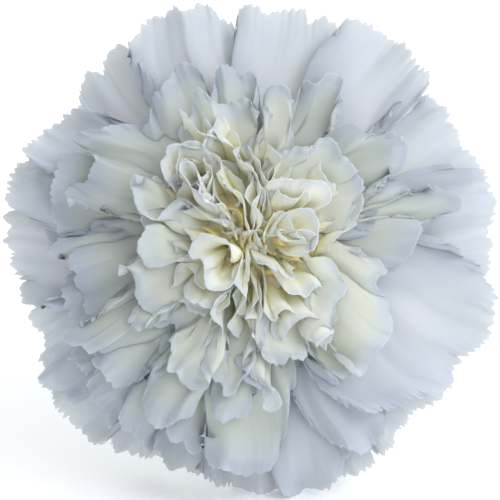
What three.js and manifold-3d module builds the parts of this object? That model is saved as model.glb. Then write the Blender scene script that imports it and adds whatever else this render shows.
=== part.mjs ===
// A cut carnation, lying on a surface: a white double bloom seen full face along its own axis,
// its calyx with the short bracts at its foot, a short length of stem and one pair of leaves.
// Millimetres, +Z up, the bloom faces -Y. The origin is under the middle of the flower, on the surface.
import * as THREE from 'three';
import { mergeVertices } from 'three/addons/utils/BufferGeometryUtils.js';
import Module from 'manifold-3d';

// ---------- driving dimensions ----------
const LEAN = 22; // degrees that the bloom's axis points up from the surface
const MOUTH_HEIGHT = 33; // the calyx mouth's centre above the surface
const GAP = 0.35; // clearance between one piece and the next

const BLADE = 0.66; // thickness of a petal
const TOOTH = 1; // height of the teeth on a petal's rim, about one column wide
const THROAT = 2.5; // radius at which the petals' claws leave the calyx
const CLAW_WIDTH = 0.08; // width of a petal at the throat, as a share of its rim

const CALYX_DEPTH = 27; // from the mouth to the foot
const CALYX_MOUTH = 7.1; // outer radius at the mouth
const CALYX_FOOT = 4.6; // outer radius at the foot
const CALYX_WALL = 0.9;
const CALYX_TOOTH = 4.4; // height of its five teeth

const BRACT_LENGTH = 10;
const BRACT_WALL = 0.8;

const STEM_RADIUS = 2.3;
const STEM_END = 83.2; // the cut end, measured down the axis from the calyx mouth
const KNOT = 58; // the swollen joint that carries the leaves, measured the same way
const KNOT_RADIUS = 3.1;

const LEAF_WIDTH = 5.6;
const LEAF_BLADE = 0.8;

const OUTER_PITCH = 5.2; // spacing of the columns on an outer petal, a tooth to each
const HEART_PITCH = 4.8;
const MOST_COLUMNS = 18;
const FEWEST_COLUMNS = 3;
const HEART_RADIUS = 13; // petals nearer the axis than this have plain rims
const FAN_HEIGHT = 14.8; // petals with lower rims than this are smooth open fans
const OUTER_ROWS = [0.27, 0.62, 0.95]; // shares of the way up a blade
const HEART_ROWS = [0.4, 0.72, 1];
const SHOULDER = 0.14; // share of the rim at each end where the teeth fade away
const BEND = 0.4; // how gently a blade bends, as a share of its length
const FULLNESS = 0.3; // how much wider a blade is half way up than straight sides would make it
const ARCH = 0.5; // how far an outer blade's sides lie below its middle
const ROLL = 1.2; // how far an outer blade's rim rolls back
const ROLL_FROM = 0.6; // share of the way up where that starts
const RUFFLE = 0.5; // how far the rims wave up and down
const RUFFLE_LENGTH = 9;
const HEART_LEAN = new THREE.Vector2(0.9, 4.2); // how far off the axis the heart's top is
const HEART_MIDDLE = new THREE.Vector2(0.6, 3);
const HEART_HEIGHT = 22;
const HEART_FALL = 0.28; // how fast the heart's rims fall away from its middle

const WELD = 4e-3; // points nearer than this are one point
const TOUCH = 5e-3; // unjoined points are kept further apart than this

// The petals from the outside in: name, height of the rim above the calyx mouth, angle from the axis
// at which the blade meets its rim, and points along the rim across the face (right, up).
const PETALS = [
  ['guard_sw', 1, 98, [
    [-14, -27.5], [-12.4, -32.6], [-14, -31.6], [-15.4, -32], [-17.2, -32], [-19, -30.9],
    [-20.8, -30.3], [-20.8, -28], [-19.5, -24]]],
  ['guard_ssw', 1.6, 98, [
    [-4, -29], [-6.6, -33.2], [-8.7, -33.8], [-10, -32.9], [-11.5, -33.4], [-13.4, -32],
    [-14.5, -28.5], [-13.5, -24.5]]],
  ['guard_wsw', 1.4, 98, [
    [-19, -24], [-21.2, -28.3], [-22.8, -29.3], [-24.6, -28.6], [-26.2, -27.2], [-27.7, -25.8],
    [-29, -24], [-30, -22], [-30.9, -20.6], [-29, -17]]],
  ['guard_west_low', 2, 98, [
    [-27.5, -22.5], [-30.9, -20.6], [-31.6, -19.3], [-31.2, -17.9], [-32.1, -16.7], [-31.2, -15],
    [-31.4, -13], [-32.6, -11.8], [-33.3, -10], [-32.6, -8.7], [-29.5, -6]]],
  ['guard_se_low', 2.4, 98, [
    [14.5, -27.5], [17.8, -30], [18.9, -32], [18, -32.9], [17, -33.5], [15, -34.3], [13.3, -34],
    [10.8, -30.5], [9.5, -27.5]]],
  ['guard_south', 2.8, 97, [
    [-5.8, -28], [-6.9, -33.6], [-5.4, -35.5], [-3, -36.4], [-1.2, -36.9], [1.2, -37.3],
    [3.6, -37.1], [5.4, -35.8], [6.4, -31]]],
  ['guard_sse', 3.4, 97, [
    [1.5, -31], [4.6, -36.2], [6.8, -37.4], [8.6, -36.7], [10.2, -36.2], [12, -35.8],
    [13.6, -33.9], [15.6, -30]]],
  ['guard_se', 3, 97, [
    [27, -17.5], [29.7, -21], [28.6, -22.8], [26.4, -24.2], [24.6, -25.1], [23.4, -26.7],
    [22, -27.6], [21.4, -30], [19.8, -31.2], [18.6, -30], [16.5, -26]]],
  ['guard_nnw_fan', 2.6, 97, [
    [-24, 18.5], [-26.1, 21.6], [-26.1, 23.8], [-25.2, 25.8], [-24.2, 27.3], [-22.3, 26.8],
    [-22.2, 28.6], [-21, 30.3], [-19.6, 30.9], [-18, 30.2], [-14.8, 27.5]]],
  ['guard_west', 3.6, 96, [
    [-28, -6], [-31.6, -8.1], [-33.9, -7.8], [-35.2, -5.4], [-36.4, -2.6], [-36.2, 0],
    [-37.2, 1.4], [-36.6, 3.6], [-37.2, 5.2], [-35.6, 6.3], [-31.5, 8]]],
  ['guard_west_up', 4.2, 95, [
    [-31.5, 3.5], [-35.8, 6.2], [-37, 8], [-36.4, 10.2], [-36, 12.7], [-34, 13.4], [-32.3, 13.8],
    [-28, 14]]],
  ['guard_nw', 4.6, 94, [
    [-29.5, 12], [-33, 13.8], [-34.1, 15.4], [-32.2, 17.2], [-30, 19], [-28, 20.5], [-26, 21.2],
    [-23.8, 21.2], [-21.8, 20.6], [-21, 19.4]]],
  ['guard_north_w', 3.8, 96, [
    [-15, 26], [-18.2, 30.6], [-17.1, 32.8], [-15.4, 35.1], [-13.6, 35.7], [-11.7, 36.9],
    [-10.2, 35.7], [-8.8, 36.7], [-6.9, 37.3], [-4.8, 35.8], [-2.4, 34.2], [-0.6, 29.5]]],
  ['guard_north', 5, 95, [
    [-2.6, 28.5], [-2.2, 34.2], [-1.5, 36.5], [0.6, 36.8], [2.2, 35.9], [4, 36], [6.2, 36.6],
    [8.4, 36.5], [8.9, 34.5], [10.8, 35.5], [12.4, 34.8], [13.8, 33.2], [15, 29]]],
  ['guard_ne_low', 4.4, 96, [
    [24.5, 21], [26.9, 23.7], [28.4, 22.2], [29.8, 21], [30.3, 19.6], [31.6, 17.9], [32, 15.8],
    [33.4, 14.8], [34.8, 13.2], [34.2, 11.5], [31, 8.4]]],
  ['guard_ne', 6.6, 92, [
    [11.6, 17.5], [12.4, 21], [13.2, 26], [13.2, 32.6], [14.4, 34.7], [16.6, 34.5], [19.4, 33.5],
    [21.3, 31.8], [22.8, 31.6], [24.6, 29.9], [25.2, 28], [26.9, 27], [27.2, 25.6], [26.2, 24],
    [23.2, 23.5], [21.2, 21]]],
  ['guard_east', 5.6, 93, [
    [31, 12.5], [34.6, 12.3], [36, 11], [36.4, 9], [37.2, 7.2], [37, 5], [36.4, 3], [36.8, 1],
    [35.9, -0.8], [36.3, -3], [33, -4.5]]],
  ['south_east_strip', 6.2, 86, [
    [20.4, -24], [20.8, -27], [19.2, -28.8], [17, -30.8], [14.2, -29.9], [11.6, -28.7],
    [9.2, -26.5], [7.2, -23.6], [5.8, -20.8], [4.4, -17]]],
  ['guard_ese', 7.2, 90, [
    [29.5, 0.5], [34, -1.8], [36, -4.4], [37.2, -7], [36.6, -8.7], [36.9, -10.3], [36.3, -12.4],
    [34.9, -14.6], [32.6, -16.5], [31, -18.2], [30.5, -20.6], [27.6, -22], [24.8, -22.6],
    [21.6, -24.1], [18.4, -24.2], [15.2, -23.2], [13.5, -21.2], [13, -18.6]]],
  ['left_fill_low', 7, 84, [
    [-26.6, -2.6], [-28.4, -5], [-28.1, -7.4], [-27.3, -10.4], [-26, -13.5], [-27.4, -16.6],
    [-25.5, -18]]],
  ['left_tongue', 8.5, 82, [
    [-30, 8.6], [-29.6, 5], [-29, 2.6], [-27.6, 2.3], [-25.6, 2.9], [-23, 2.7]]],
  ['left_finger', 9.6, 80, [
    [-24, 3.2], [-28.6, 1.7], [-30.5, 0], [-29.6, -1.1], [-27, -1.6]]],
  ['sw_tongue', 7.5, 82, [
    [-17.6, -20.2], [-19.2, -24], [-21, -26.8], [-22, -24.5], [-23.8, -22.4], [-24.6, -20.4],
    [-23.2, -17.5]]],
  ['sw_blade', 8.2, 82, [
    [-13.6, -25.5], [-14.8, -30.6], [-16.6, -29.2], [-18, -27.4], [-19.8, -26.4], [-19.2, -23.6],
    [-17.4, -20.6], [-15.4, -17.6]]],
  ['south_w_leaf', 9, 80, [
    [-5.8, -25.6], [-7, -29.6], [-8.8, -30.6], [-10, -29.3], [-11.8, -28.9], [-12.7, -27],
    [-12, -23]]],
  ['south_broad', 10.2, 78, [
    [5.9, -21.6], [5.6, -26], [4.2, -31.2], [2, -33.3], [-1, -33.8], [-4.2, -33.3], [-6.2, -31.8],
    [-6.9, -29], [-6.4, -25.2]]],
  ['west_lower_fan', 11.5, 76, [
    [-24, 3], [-27, -0.6], [-27.5, -2.6], [-26, -3.4], [-25.9, -5], [-24.5, -7], [-24.6, -8.4],
    [-23.6, -10.1], [-21, -8.8], [-18.5, -7.8]]],
  ['sw_round', 11.8, 76, [
    [-13.9, -14.5], [-15.2, -18.2], [-17.4, -20.1], [-20, -20.5], [-22.2, -19.4], [-23.4, -17],
    [-22.9, -15], [-22, -12.8]]],
  ['sw_finger', 13, 74, [
    [-17.5, -17.2], [-20.4, -16.4], [-22.8, -15.1], [-24.2, -15.7], [-25.4, -14.4], [-26.7, -14.4],
    [-27.5, -13.2], [-26.6, -11.8], [-23.8, -10.4], [-20, -9.2], [-16.8, -8.2]]],
  ['ssw_broad', 12.2, 76, [
    [-7.6, -20.5], [-8.4, -24.6], [-11, -26], [-13.2, -27.1], [-15, -26.2], [-16, -23.8],
    [-15.6, -20.4], [-13.8, -17]]],
  ['south_step', 13.6, 72, [
    [1.2, -21], [-0.4, -24.6], [-3.4, -25.8], [-5, -25.4], [-5.8, -22.8], [-6.2, -19.8]]],
  ['west_broad', 12.6, 78, [
    [-9, 18.2], [-13.5, 18.5], [-17, 18.9], [-20.5, 18.8], [-24, 18.2], [-26.8, 17], [-25, 15.2],
    [-23.4, 14], [-24.1, 12.2], [-24.4, 10.2], [-26.4, 9.7], [-27.4, 8.2], [-24.6, 7],
    [-21.8, 6.2], [-19, 5.4], [-17, 3.8]]],
  ['nnw_grey', 11, 80, [
    [-15, 20.5], [-14.2, 24], [-12.4, 25.7], [-11.2, 27.5], [-9.8, 28], [-8, 27.7], [-7, 25.6],
    [-6.4, 22.5]]],
  ['north_grey', 12, 78, [
    [-6, 22.5], [-5, 26.3], [-3.8, 27.6], [-1.6, 26.8], [0.6, 26.5], [0.9, 24.6], [0.6, 21.5]]],
  ['nne_blue', 13.4, 72, [
    [5.8, 19], [7.2, 22.5], [7.8, 25], [8.8, 25.7], [10.2, 25.4], [11.6, 26.6], [13.4, 26.4],
    [13.8, 24.8], [12.8, 22.2], [11.8, 19.2], [11.2, 16.4]]],
  ['east_shade', 11.4, 78, [
    [18.4, 8.2], [20.6, 9.8], [21.4, 10.6], [23.2, 10], [24.8, 8.3], [27.2, 9.6], [30, 8.7],
    [32.2, 7.6], [31.6, 6], [27.5, 4.6]]],
  ['ne_fold', 14.6, 68, [
    [18.6, 17.6], [21, 18.2], [23.2, 17.1], [23.8, 15.2], [23.2, 13], [22, 11.6], [20.4, 10.8],
    [19.6, 9]]],
  ['east_blue', 12.8, 76, [
    [16, 1.2], [18.6, 2.7], [21.2, 4], [23.6, 4.7], [25.8, 4.2], [25.3, 1.9], [24, -0.4],
    [21.6, -2.6], [19, -4]]],
  ['se_inner_lip', 14.4, 66, [
    [17, -16.6], [15.2, -19], [13, -19.3], [11.4, -18.2], [10.2, -16], [9.4, -13]]],
  ['east_cream', 16.4, 68, [
    [16.6, -0.6], [19.2, -2.2], [20.5, -3.6], [19.2, -5.2], [19.4, -7.3], [20.6, -9.6],
    [21.1, -12], [20.2, -14.6], [18.2, -16.2], [16.9, -17.5], [15.8, -15.4], [13.6, -14.4]]],
  ['north_frill', 15.6, 60, [
    [1.4, 17.8], [2.1, 20.8], [3.2, 22.8], [4.6, 24.2], [6, 23.9], [6.8, 22], [6.2, 19.4],
    [5.6, 16.4]]],
  ['north_light', 14.4, 66, [
    [-8.6, 21.6], [-8.2, 23.8], [-6.8, 24.1], [-5.6, 22.6], [-3.6, 21.6], [-1.8, 22.2],
    [-0.2, 22.2], [0.6, 19.2]]],
  ['south_cream', 16.6, 66, [
    [1.4, -14.5], [0.8, -18.8], [-1.2, -20.4], [-3.6, -21.7], [-4.4, -20.2], [-6.1, -19.2],
    [-6.4, -16.6], [-5.8, -13.5]]],
  ['ssw_lip', 17.2, 62, [
    [-7.4, -13.5], [-7.6, -17], [-7.8, -19.9], [-9.6, -19.6], [-10.8, -18], [-12.4, -17.8],
    [-11.4, -15.8], [-10.2, -14.2], [-10.4, -11.8], [-11.8, -11], [-13.6, -11.3], [-14.4, -10]]],
  ['west_bowl', 17.6, 60, [
    [-10.5, -9], [-13.2, -9.9], [-15, -9.2], [-16.2, -7.2], [-17, -4.9], [-18.6, -4.1],
    [-20.4, -3.6], [-19, -2.4], [-16.6, -1.8]]],
  ['south_fold', 16, 58, [
    [1.1, -14.4], [1.2, -17], [2.1, -19.2], [3.2, -21], [3.4, -23.2], [2.5, -23.4], [1.6, -21]]],
  ['se_white', 18, 58, [
    [9.4, -12], [9.3, -14.6], [8.5, -16.4], [6.6, -16.8], [4.6, -16.3], [2.6, -15.6], [1.9, -13.8],
    [3.4, -11]]],
  ['west_hook', 19.2, 52, [
    [-8, -2.6], [-9.6, -3], [-11.4, -2.8], [-13.4, -1.8], [-15.4, -0.8], [-16.6, 1], [-16.9, 3.4]]],
  ['east_strip', 18.2, 52, [
    [11.6, -1.6], [12.6, -4.6], [13.4, -7.6], [13.6, -10.6], [12.8, -13.4], [11.5, -15.2]]],
  ['nw_scoop', 19, 52, [
    [-10.6, 6.4], [-14, 6.4], [-16.2, 6.9], [-17.4, 8.6], [-18.4, 10.8], [-17.9, 12.2],
    [-16, 12.2], [-14.4, 11.2], [-13.2, 10]]],
  ['ne_heart', 19.4, 62, [
    [3.5, 13.8], [6.2, 15.3], [9, 15], [11.6, 15.6], [13.8, 14.7], [14.9, 12.8], [15, 11.4],
    [16.3, 9.8], [15.8, 7], [14.6, 4.4]]],
  ['west_cream', 20.6, 50, [
    [-3, 6], [-8, 6.6], [-13, 6.5], [-17, 6.9], [-15.6, 4.9], [-14.2, 3.2], [-12.8, 0.8],
    [-10.4, -2]]],
  ['sw_pleat', 19.8, 48, [
    [-8, -4.3], [-10.6, -4.5], [-13.2, -5], [-14.4, -6.7], [-15.8, -6], [-16.3, -3.6]]],
  ['sw_white', 21, 46, [
    [-5.8, -7], [-6.6, -8.8], [-8.6, -9.1], [-9.9, -8], [-10.8, -5.9]]],
  ['se_pale', 20.4, 52, [
    [11.2, -7.4], [11.3, -11], [11.4, -15], [9.8, -13.8], [8.4, -12], [6.4, -12.8], [4.6, -13.6],
    [4, -10], [3, -8.4]]],
  ['south_spoke_w', 20.6, 40, [
    [-2.4, -5.6], [-3.4, -8.2], [-4.9, -10], [-5.2, -11.6], [-6, -13], [-5.4, -15.4],
    [-6.2, -17.4]]],
  ['south_spoke', 21.4, 36, [
    [-1.4, -3.4], [-1.9, -6.5], [-1.7, -9.8], [-1.9, -12.6], [-1.3, -14]]],
  ['ne_inner', 21.6, 50, [
    [4, 12.4], [5.6, 10.9], [7.8, 10.1], [9.8, 10.2], [11.3, 9.2], [11.4, 7.6], [10, 6.6]]],
  ['east_round', 22.4, 48, [
    [3.6, 5], [5.6, 5.8], [7.8, 5.4], [9.4, 4], [10.4, 2], [11, -0.2], [10, -1.6]]],
  ['east_crumple', 23.6, 40, [
    [4, 3.4], [5.2, 4.2], [6, 3.2], [7.4, 3.8], [8.2, 2.4], [7.9, 0.6], [6.8, -1]]],
  ['se_band', 22, 44, [
    [1, -3.6], [3, -3], [4.6, -3.8], [6.2, -5], [8.4, -5.3], [10.4, -5.4], [11.2, -6.4]]],
  ['se_curl', 23.4, 46, [
    [1.6, -1.4], [3.6, -1.4], [5.2, -2.2], [5.6, -3.6], [6.8, -4.6], [7.8, -3.6]]],
  ['rosette_outer', 22, 44, [
    [-2.2, 6], [-2.1, 8.4], [-2.6, 10.8], [-3.8, 12.8], [-5.4, 13.7], [-7.2, 13.8], [-7.6, 15.8],
    [-9, 15.9], [-10.4, 14.8], [-11, 12.4]]],
  ['rosette_mid', 23.2, 38, [
    [-4.8, 7], [-5.2, 8.6], [-6.6, 9.9], [-8.2, 11], [-9.4, 12.2], [-10, 13], [-9.9, 10.6],
    [-9.2, 8.8], [-8, 7.6], [-6.4, 7.2]]],
  ['north_spoke_a', 20.4, 38, [
    [-3, 11.8], [-4, 13.6], [-4.9, 15.6], [-6, 17.8], [-7, 19.6]]],
  ['north_spoke_c', 22.4, 34, [
    [0.9, 5.2], [0.5, 7.2], [1, 9], [0.4, 11.4], [-0.7, 14], [-1.4, 16.8]]],
  ['north_spoke_e', 20.6, 38, [
    [3.4, 7.6], [3.4, 10.6], [3.3, 13.4], [3.6, 16.6]]],
  ['centre_west', 23.8, 42, [
    [-1, 1.2], [-3, 2.2], [-5.6, 1.8], [-7.4, 0.8], [-8.6, -0.5], [-7.5, -1.5], [-8.3, -3.2],
    [-7.4, -4.8], [-6.2, -6], [-4.8, -5.6], [-3.6, -3.6]]],
];

// How far down the bloom's face the surface is, at a distance z along its axis.
const lean = THREE.MathUtils.degToRad(LEAN);
const surfaceAt = (z) => -(MOUTH_HEIGHT + z * Math.sin(lean)) / Math.cos(lean);

// Each leaf's midrib from the sheath to the tip, in the flower's frame (right, up, along the axis).
// The last stretch lies on the surface.
const LEAF_RIGHT = [[4.2, 0, -56.5], [9, 2.2, -51], [16.5, -1, -46], [22.5, -10.5, -43.5],
  [25.5, surfaceAt(-43), -43], [28.5, surfaceAt(-42.5) + 0.2, -42.5]];
const LEAF_LEFT = [[-2.2, 0, -56.5], [-7, 2.6, -52.5], [-14.5, -0.6, -49.5], [-21, -9.5, -48.5],
  [-24.5, surfaceAt(-48.5), -48.5], [-27.5, surfaceAt(-48.8) + 0.2, -48.8]];
const ACROSS_LEAF = new THREE.Vector3(0, 0, 1); // the leaves' faces look up the stem

// ---------- closed sheets and tubes ----------

// The direction square to a grid of points at row i, column j.
function normalAt(grid, i, j) {
  const rows = grid.length - 1;
  const columns = grid[0].length - 1;
  const along = new THREE.Vector3().subVectors(grid[i][Math.min(j + 1, columns)], grid[i][Math.max(j - 1, 0)]);
  const up = new THREE.Vector3().subVectors(grid[Math.min(i + 1, rows)][j], grid[Math.max(i - 1, 0)][j]);
  return along.cross(up).normalize();
}

// A blade of even thickness on a grid of points. Both faces are split into triangles alike.
// tips, when given, holds one tooth's point between each two columns of the last row.
function blade(grid, thickness, tips = []) {
  const rows = grid.length;
  const columns = grid[0].length;
  const at = (i, j) => i * columns + j;
  const tipAt = (j) => rows * columns + j;
  const count = rows * columns + tips.length;
  const front = [];
  const back = [];
  const lift = (point, normal) => {
    front.push(point.clone().addScaledVector(normal, thickness / 2));
    back.push(point.clone().addScaledVector(normal, -thickness / 2));
  };
  grid.forEach((row, i) => row.forEach((point, j) => lift(point, normalAt(grid, i, j))));
  tips.forEach((tip, j) => lift(tip, normalAt(grid, rows - 1, j)));

  const faces = [];
  for (let i = 0; i < rows - 1; i++) {
    for (let j = 0; j < columns - 1; j++) {
      const [a, b, c, d] = [at(i, j), at(i, j + 1), at(i + 1, j + 1), at(i + 1, j)];
      if (tips.length && i === rows - 2) faces.push([a, b, tipAt(j)], [a, tipAt(j), d], [b, c, tipAt(j)]);
      else faces.push([a, b, c], [a, c, d]);
    }
  }
  const edge = [];
  for (let j = 0; j < columns; j++) edge.push(at(0, j));
  for (let i = 1; i < rows; i++) edge.push(at(i, columns - 1));
  for (let j = columns - 2; j >= 0; j--) {
    if (tips.length) edge.push(tipAt(j));
    edge.push(at(rows - 1, j));
  }
  for (let i = rows - 2; i > 0; i--) edge.push(at(i, 0));

  const index = [];
  faces.forEach(([a, b, c]) => index.push(a, b, c, a + count, c + count, b + count));
  edge.forEach((a, k) => {
    const b = edge[(k + 1) % edge.length];
    index.push(b, a, a + count, b, a + count, b + count);
  });
  return meshOf([...front, ...back], index);
}

// A tube on rings of points that run up its outside and down its inside. Where the first and last
// rings are points on the axis the tube is a closed cup or a solid rod.
function tube(rings, closedRound) {
  const sides = rings[0].length;
  const points = rings.flat();
  const index = [];
  const last = closedRound ? rings.length : rings.length - 1;
  for (let i = 0; i < last; i++) {
    const next = (i + 1) % rings.length;
    for (let j = 0; j < sides; j++) {
      const k = (j + 1) % sides;
      const [a, b, c, d] = [i * sides + j, i * sides + k, next * sides + k, next * sides + j];
      index.push(a, b, c, a, c, d);
    }
  }
  return meshOf(points, index);
}

function meshOf(points, index) {
  const geometry = new THREE.BufferGeometry();
  geometry.setAttribute('position', new THREE.Float32BufferAttribute(points.flatMap((p) => p.toArray()), 3));
  geometry.setIndex(index);
  return geometry;
}

// ---------- joining ----------
const wasm = await Module();
wasm.setup();

// A closed geometry's points and triangles, with points nearer than WELD made one. Triangles that
// this empties are dropped, and so are pairs that it folds onto each other.
function welded(geometry) {
  const bare = geometry.clone();
  bare.deleteAttribute('normal');
  bare.deleteAttribute('uv');
  const merged = mergeVertices(bare, WELD);
  const index = merged.index.array;
  const kept = new Map();
  for (let k = 0; k < index.length; k += 3) {
    const corners = [index[k], index[k + 1], index[k + 2]];
    if (new Set(corners).size < 3) continue;
    const key = [...corners].sort((p, q) => p - q).join();
    if (kept.has(key)) kept.delete(key);
    else kept.set(key, corners);
  }
  return { points: new Float32Array(merged.attributes.position.array), corners: [...kept.values()] };
}

function solidOf(geometry) {
  const { points, corners } = welded(geometry);
  return new wasm.Manifold(new wasm.Mesh({
    numProp: 3,
    vertProperties: points,
    triVerts: new Uint32Array(corners.flat()),
  }));
}

// Where a skin touches itself at a point without being joined there, the points are drawn apart, a
// little way into the solid.
function partTouching(skin) {
  skin.computeVertexNormals();
  const { position, normal } = skin.attributes;
  const seen = new Set();
  for (let i = 0; i < position.count; i++) {
    const point = new THREE.Vector3().fromBufferAttribute(position, i);
    const inward = new THREE.Vector3().fromBufferAttribute(normal, i).negate();
    const key = () => point.toArray().map((v) => Math.round(v / TOUCH)).join();
    while (seen.has(key())) point.addScaledVector(inward, 4 * TOUCH);
    seen.add(key());
    position.setXYZ(i, ...point.toArray());
  }
  return skin;
}

// The outer skin of a solid as a geometry: hollows that joining sealed, and loose scraps, are left out.
function outerSkin(solid) {
  const skinOf = (part) => {
    const mesh = part.getMesh();
    const skin = new THREE.BufferGeometry();
    skin.setAttribute('position', new THREE.BufferAttribute(new Float32Array(mesh.vertProperties), 3));
    return skin.setIndex([...mesh.triVerts]);
  };
  const skins = solidOf(skinOf(solid)).decompose().sort((p, q) => q.volume() - p.volume());
  return partTouching(skinOf(skins[0])).toNonIndexed();
}

// ---------- the flower's frame ----------
// X is to the right as the bloom is looked at, Y is up across its face, and Z is its axis, out of its face.
const flower = new THREE.Group();
flower.position.set(0, 0, MOUTH_HEIGHT);
flower.rotation.x = THREE.MathUtils.degToRad(90 - LEAN);
flower.updateMatrixWorld();
const toFlower = flower.matrixWorld.clone().invert();

const belowSurface = (() => {
  const depth = 40;
  const block = new THREE.BoxGeometry(400, 400, depth);
  block.translate(0, 0, -depth / 2);
  return solidOf(block.applyMatrix4(toFlower));
})();

// A piece with small flats where it rests on the surface.
const rested = (solid) => outerSkin(solid.subtract(belowSurface));

// ---------- bloom ----------

// An open blade's line seen from the side, from its claw to its rim: distance from the axis, height.
function bentLine(reach, height, tilt) {
  const pull = BEND * Math.hypot(reach - THROAT, height);
  return new THREE.CubicBezierCurve(
    new THREE.Vector2(THROAT, 0), new THREE.Vector2(THROAT, pull),
    new THREE.Vector2(reach - pull * Math.sin(tilt), height - pull * Math.cos(tilt)),
    new THREE.Vector2(reach, height));
}

// The share of the way along such a line at which it is at a distance from the axis.
function shareAt(line, distance) {
  let [low, high] = [0, 1];
  for (let k = 0; k < 20; k++) {
    const half = (low + high) / 2;
    if (line.getPoint(half).x < distance) low = half;
    else high = half;
  }
  return high;
}

// One petal: its rim is the line drawn through the points, and its blade runs up out of the throat
// and over to the rim. An open blade is one smooth fan that the rim outlines, and a crumpled one
// stands up to a rim of its own height.
function petal([, height, flare, rimPoints]) {
  const rim = new THREE.CatmullRomCurve3(
    rimPoints.map(([x, y]) => new THREE.Vector3(x, y, height)), false, 'catmullrom', 0.5);
  const middle = rimPoints.reduce((sum, [x, y]) => sum.add(new THREE.Vector2(x, y)), new THREE.Vector2())
    .divideScalar(rimPoints.length);
  const heading = middle.clone().normalize();
  const outer = middle.length() > HEART_RADIUS;
  const length = rim.getLength();
  const pitch = outer ? OUTER_PITCH : HEART_PITCH;
  const columns = THREE.MathUtils.clamp(Math.round(length / pitch), FEWEST_COLUMNS, MOST_COLUMNS);
  const tilt = THREE.MathUtils.degToRad(flare);
  const open = height < FAN_HEIGHT;
  const line = bentLine(Math.max(...rim.getSpacedPoints(3 * columns).map((p) => Math.hypot(p.x, p.y))),
    height, tilt);
  const fromHeart = ({ x, y }) => Math.hypot(x - HEART_MIDDLE.x, y - HEART_MIDDLE.y);
  const usual = rim.getSpacedPoints(columns).reduce((sum, p) => sum + fromHeart(p), 0) / (columns + 1);

  const pointAt = (share, v) => {
    const end = rim.getPointAt(share);
    const foot = new THREE.Vector2(end.x, end.y).sub(middle).multiplyScalar(CLAW_WIDTH)
      .addScaledVector(middle, Math.min(1, THROAT / middle.length()));
    const start = new THREE.Vector3(foot.x, foot.y, 0);
    let point;
    if (open) {
      const reach = Math.hypot(end.x, end.y);
      const bent = line.getPoint(v * shareAt(line, reach));
      point = start.lerp(end, (bent.x - THROAT) / (reach - THROAT)).setZ(bent.y);
    } else {
      if (!outer) end.z -= HEART_FALL * (fromHeart(end) - usual);
      const pull = BEND * start.distanceTo(end);
      const arrival = new THREE.Vector3(end.x - foot.x, end.y - foot.y, 0).normalize()
        .multiplyScalar(Math.sin(tilt)).setZ(Math.cos(tilt));
      point = new THREE.CubicBezierCurve3(
        start, start.clone().setZ(pull), end.clone().addScaledVector(arrival, -pull), end).getPoint(v);
    }
    const lean = 3 * (1 - v) ** 2 * v * height / HEART_HEIGHT;
    const belly = 4 * v * (1 - v);
    const onward = heading.x * point.x + heading.y * point.y;
    point.x += FULLNESS * belly * (point.x - onward * heading.x) + lean * HEART_LEAN.x;
    point.y += FULLNESS * belly * (point.y - onward * heading.y) + lean * HEART_LEAN.y;
    if (outer) {
      point.z -= ARCH * belly * (2 * share - 1) ** 2;
      point.z -= ROLL * Math.max(0, (v - ROLL_FROM) / (1 - ROLL_FROM)) ** 2;
    }
    const ruffle = Math.sin(share * length * 2 * Math.PI / RUFFLE_LENGTH + height * 5);
    point.z += RUFFLE * v ** 2 * ruffle;
    return point;
  };

  const shares = Array.from({ length: columns + 1 }, (_, j) => j / columns);
  const grid = (outer ? OUTER_ROWS : HEART_ROWS).map((v) => shares.map((share) => pointAt(share, v)));
  if (!outer) return blade(grid, BLADE);
  const tips = shares.slice(1).map((right) => {
    const share = right - 0.5 / columns;
    const fade = Math.min(1, share / SHOULDER, (1 - share) / SHOULDER);
    const tip = pointAt(share, 1);
    const onward = tip.clone().sub(pointAt(share, 0.95)).normalize();
    return tip.addScaledVector(onward, fade * TOOTH / 2);
  });
  return blade(grid, BLADE, tips);
}

// The bundle of the petals' claws: it fills the calyx and stands up into the bloom as its heart.
function claws() {
  const profile = [[0, -CALYX_DEPTH + 3], [3.4, -CALYX_DEPTH + 3], [4.7, -19], [5.5, -6], [5.9, 3.5],
    [6.1, CALYX_TOOTH + 0.3], [8.2, 7.6], [9.6, 11], [9, 13.6], [6.2, 16.2], [0, 17.4]];
  const bundle = new THREE.LatheGeometry(profile.map(([r, z]) => new THREE.Vector2(r, z)), 24)
    .rotateX(Math.PI / 2);
  const { position } = bundle.attributes;
  for (let i = 0; i < position.count; i++) {
    const lean = Math.max(0, position.getZ(i) - CALYX_TOOTH) / (HEART_HEIGHT - CALYX_TOOTH);
    position.setX(i, position.getX(i) + lean * HEART_LEAN.x);
    position.setY(i, position.getY(i) + lean * HEART_LEAN.y);
  }
  return bundle;
}

function bloomGeometry() {
  const pieces = [claws(), ...PETALS.map(petal)].map(solidOf);
  return rested(pieces.reduce((joined, piece) => joined.add(piece)));
}

// ---------- calyx and bracts ----------
// A ring of points round the axis.
const ring = (sides, radiusAt, heightAt) => Array.from({ length: sides }, (_, k) => {
  const angle = (k / sides) * 2 * Math.PI;
  const radius = radiusAt(angle);
  return new THREE.Vector3(Math.cos(angle) * radius, Math.sin(angle) * radius, heightAt(angle));
});

// The calyx's outer radius at a height down from the mouth: a barrel that narrows to its foot.
function calyxRadius(z) {
  const share = THREE.MathUtils.clamp(-z / CALYX_DEPTH, 0, 1);
  return CALYX_MOUTH - (CALYX_MOUTH - CALYX_FOOT) * share ** 2.6;
}

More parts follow.
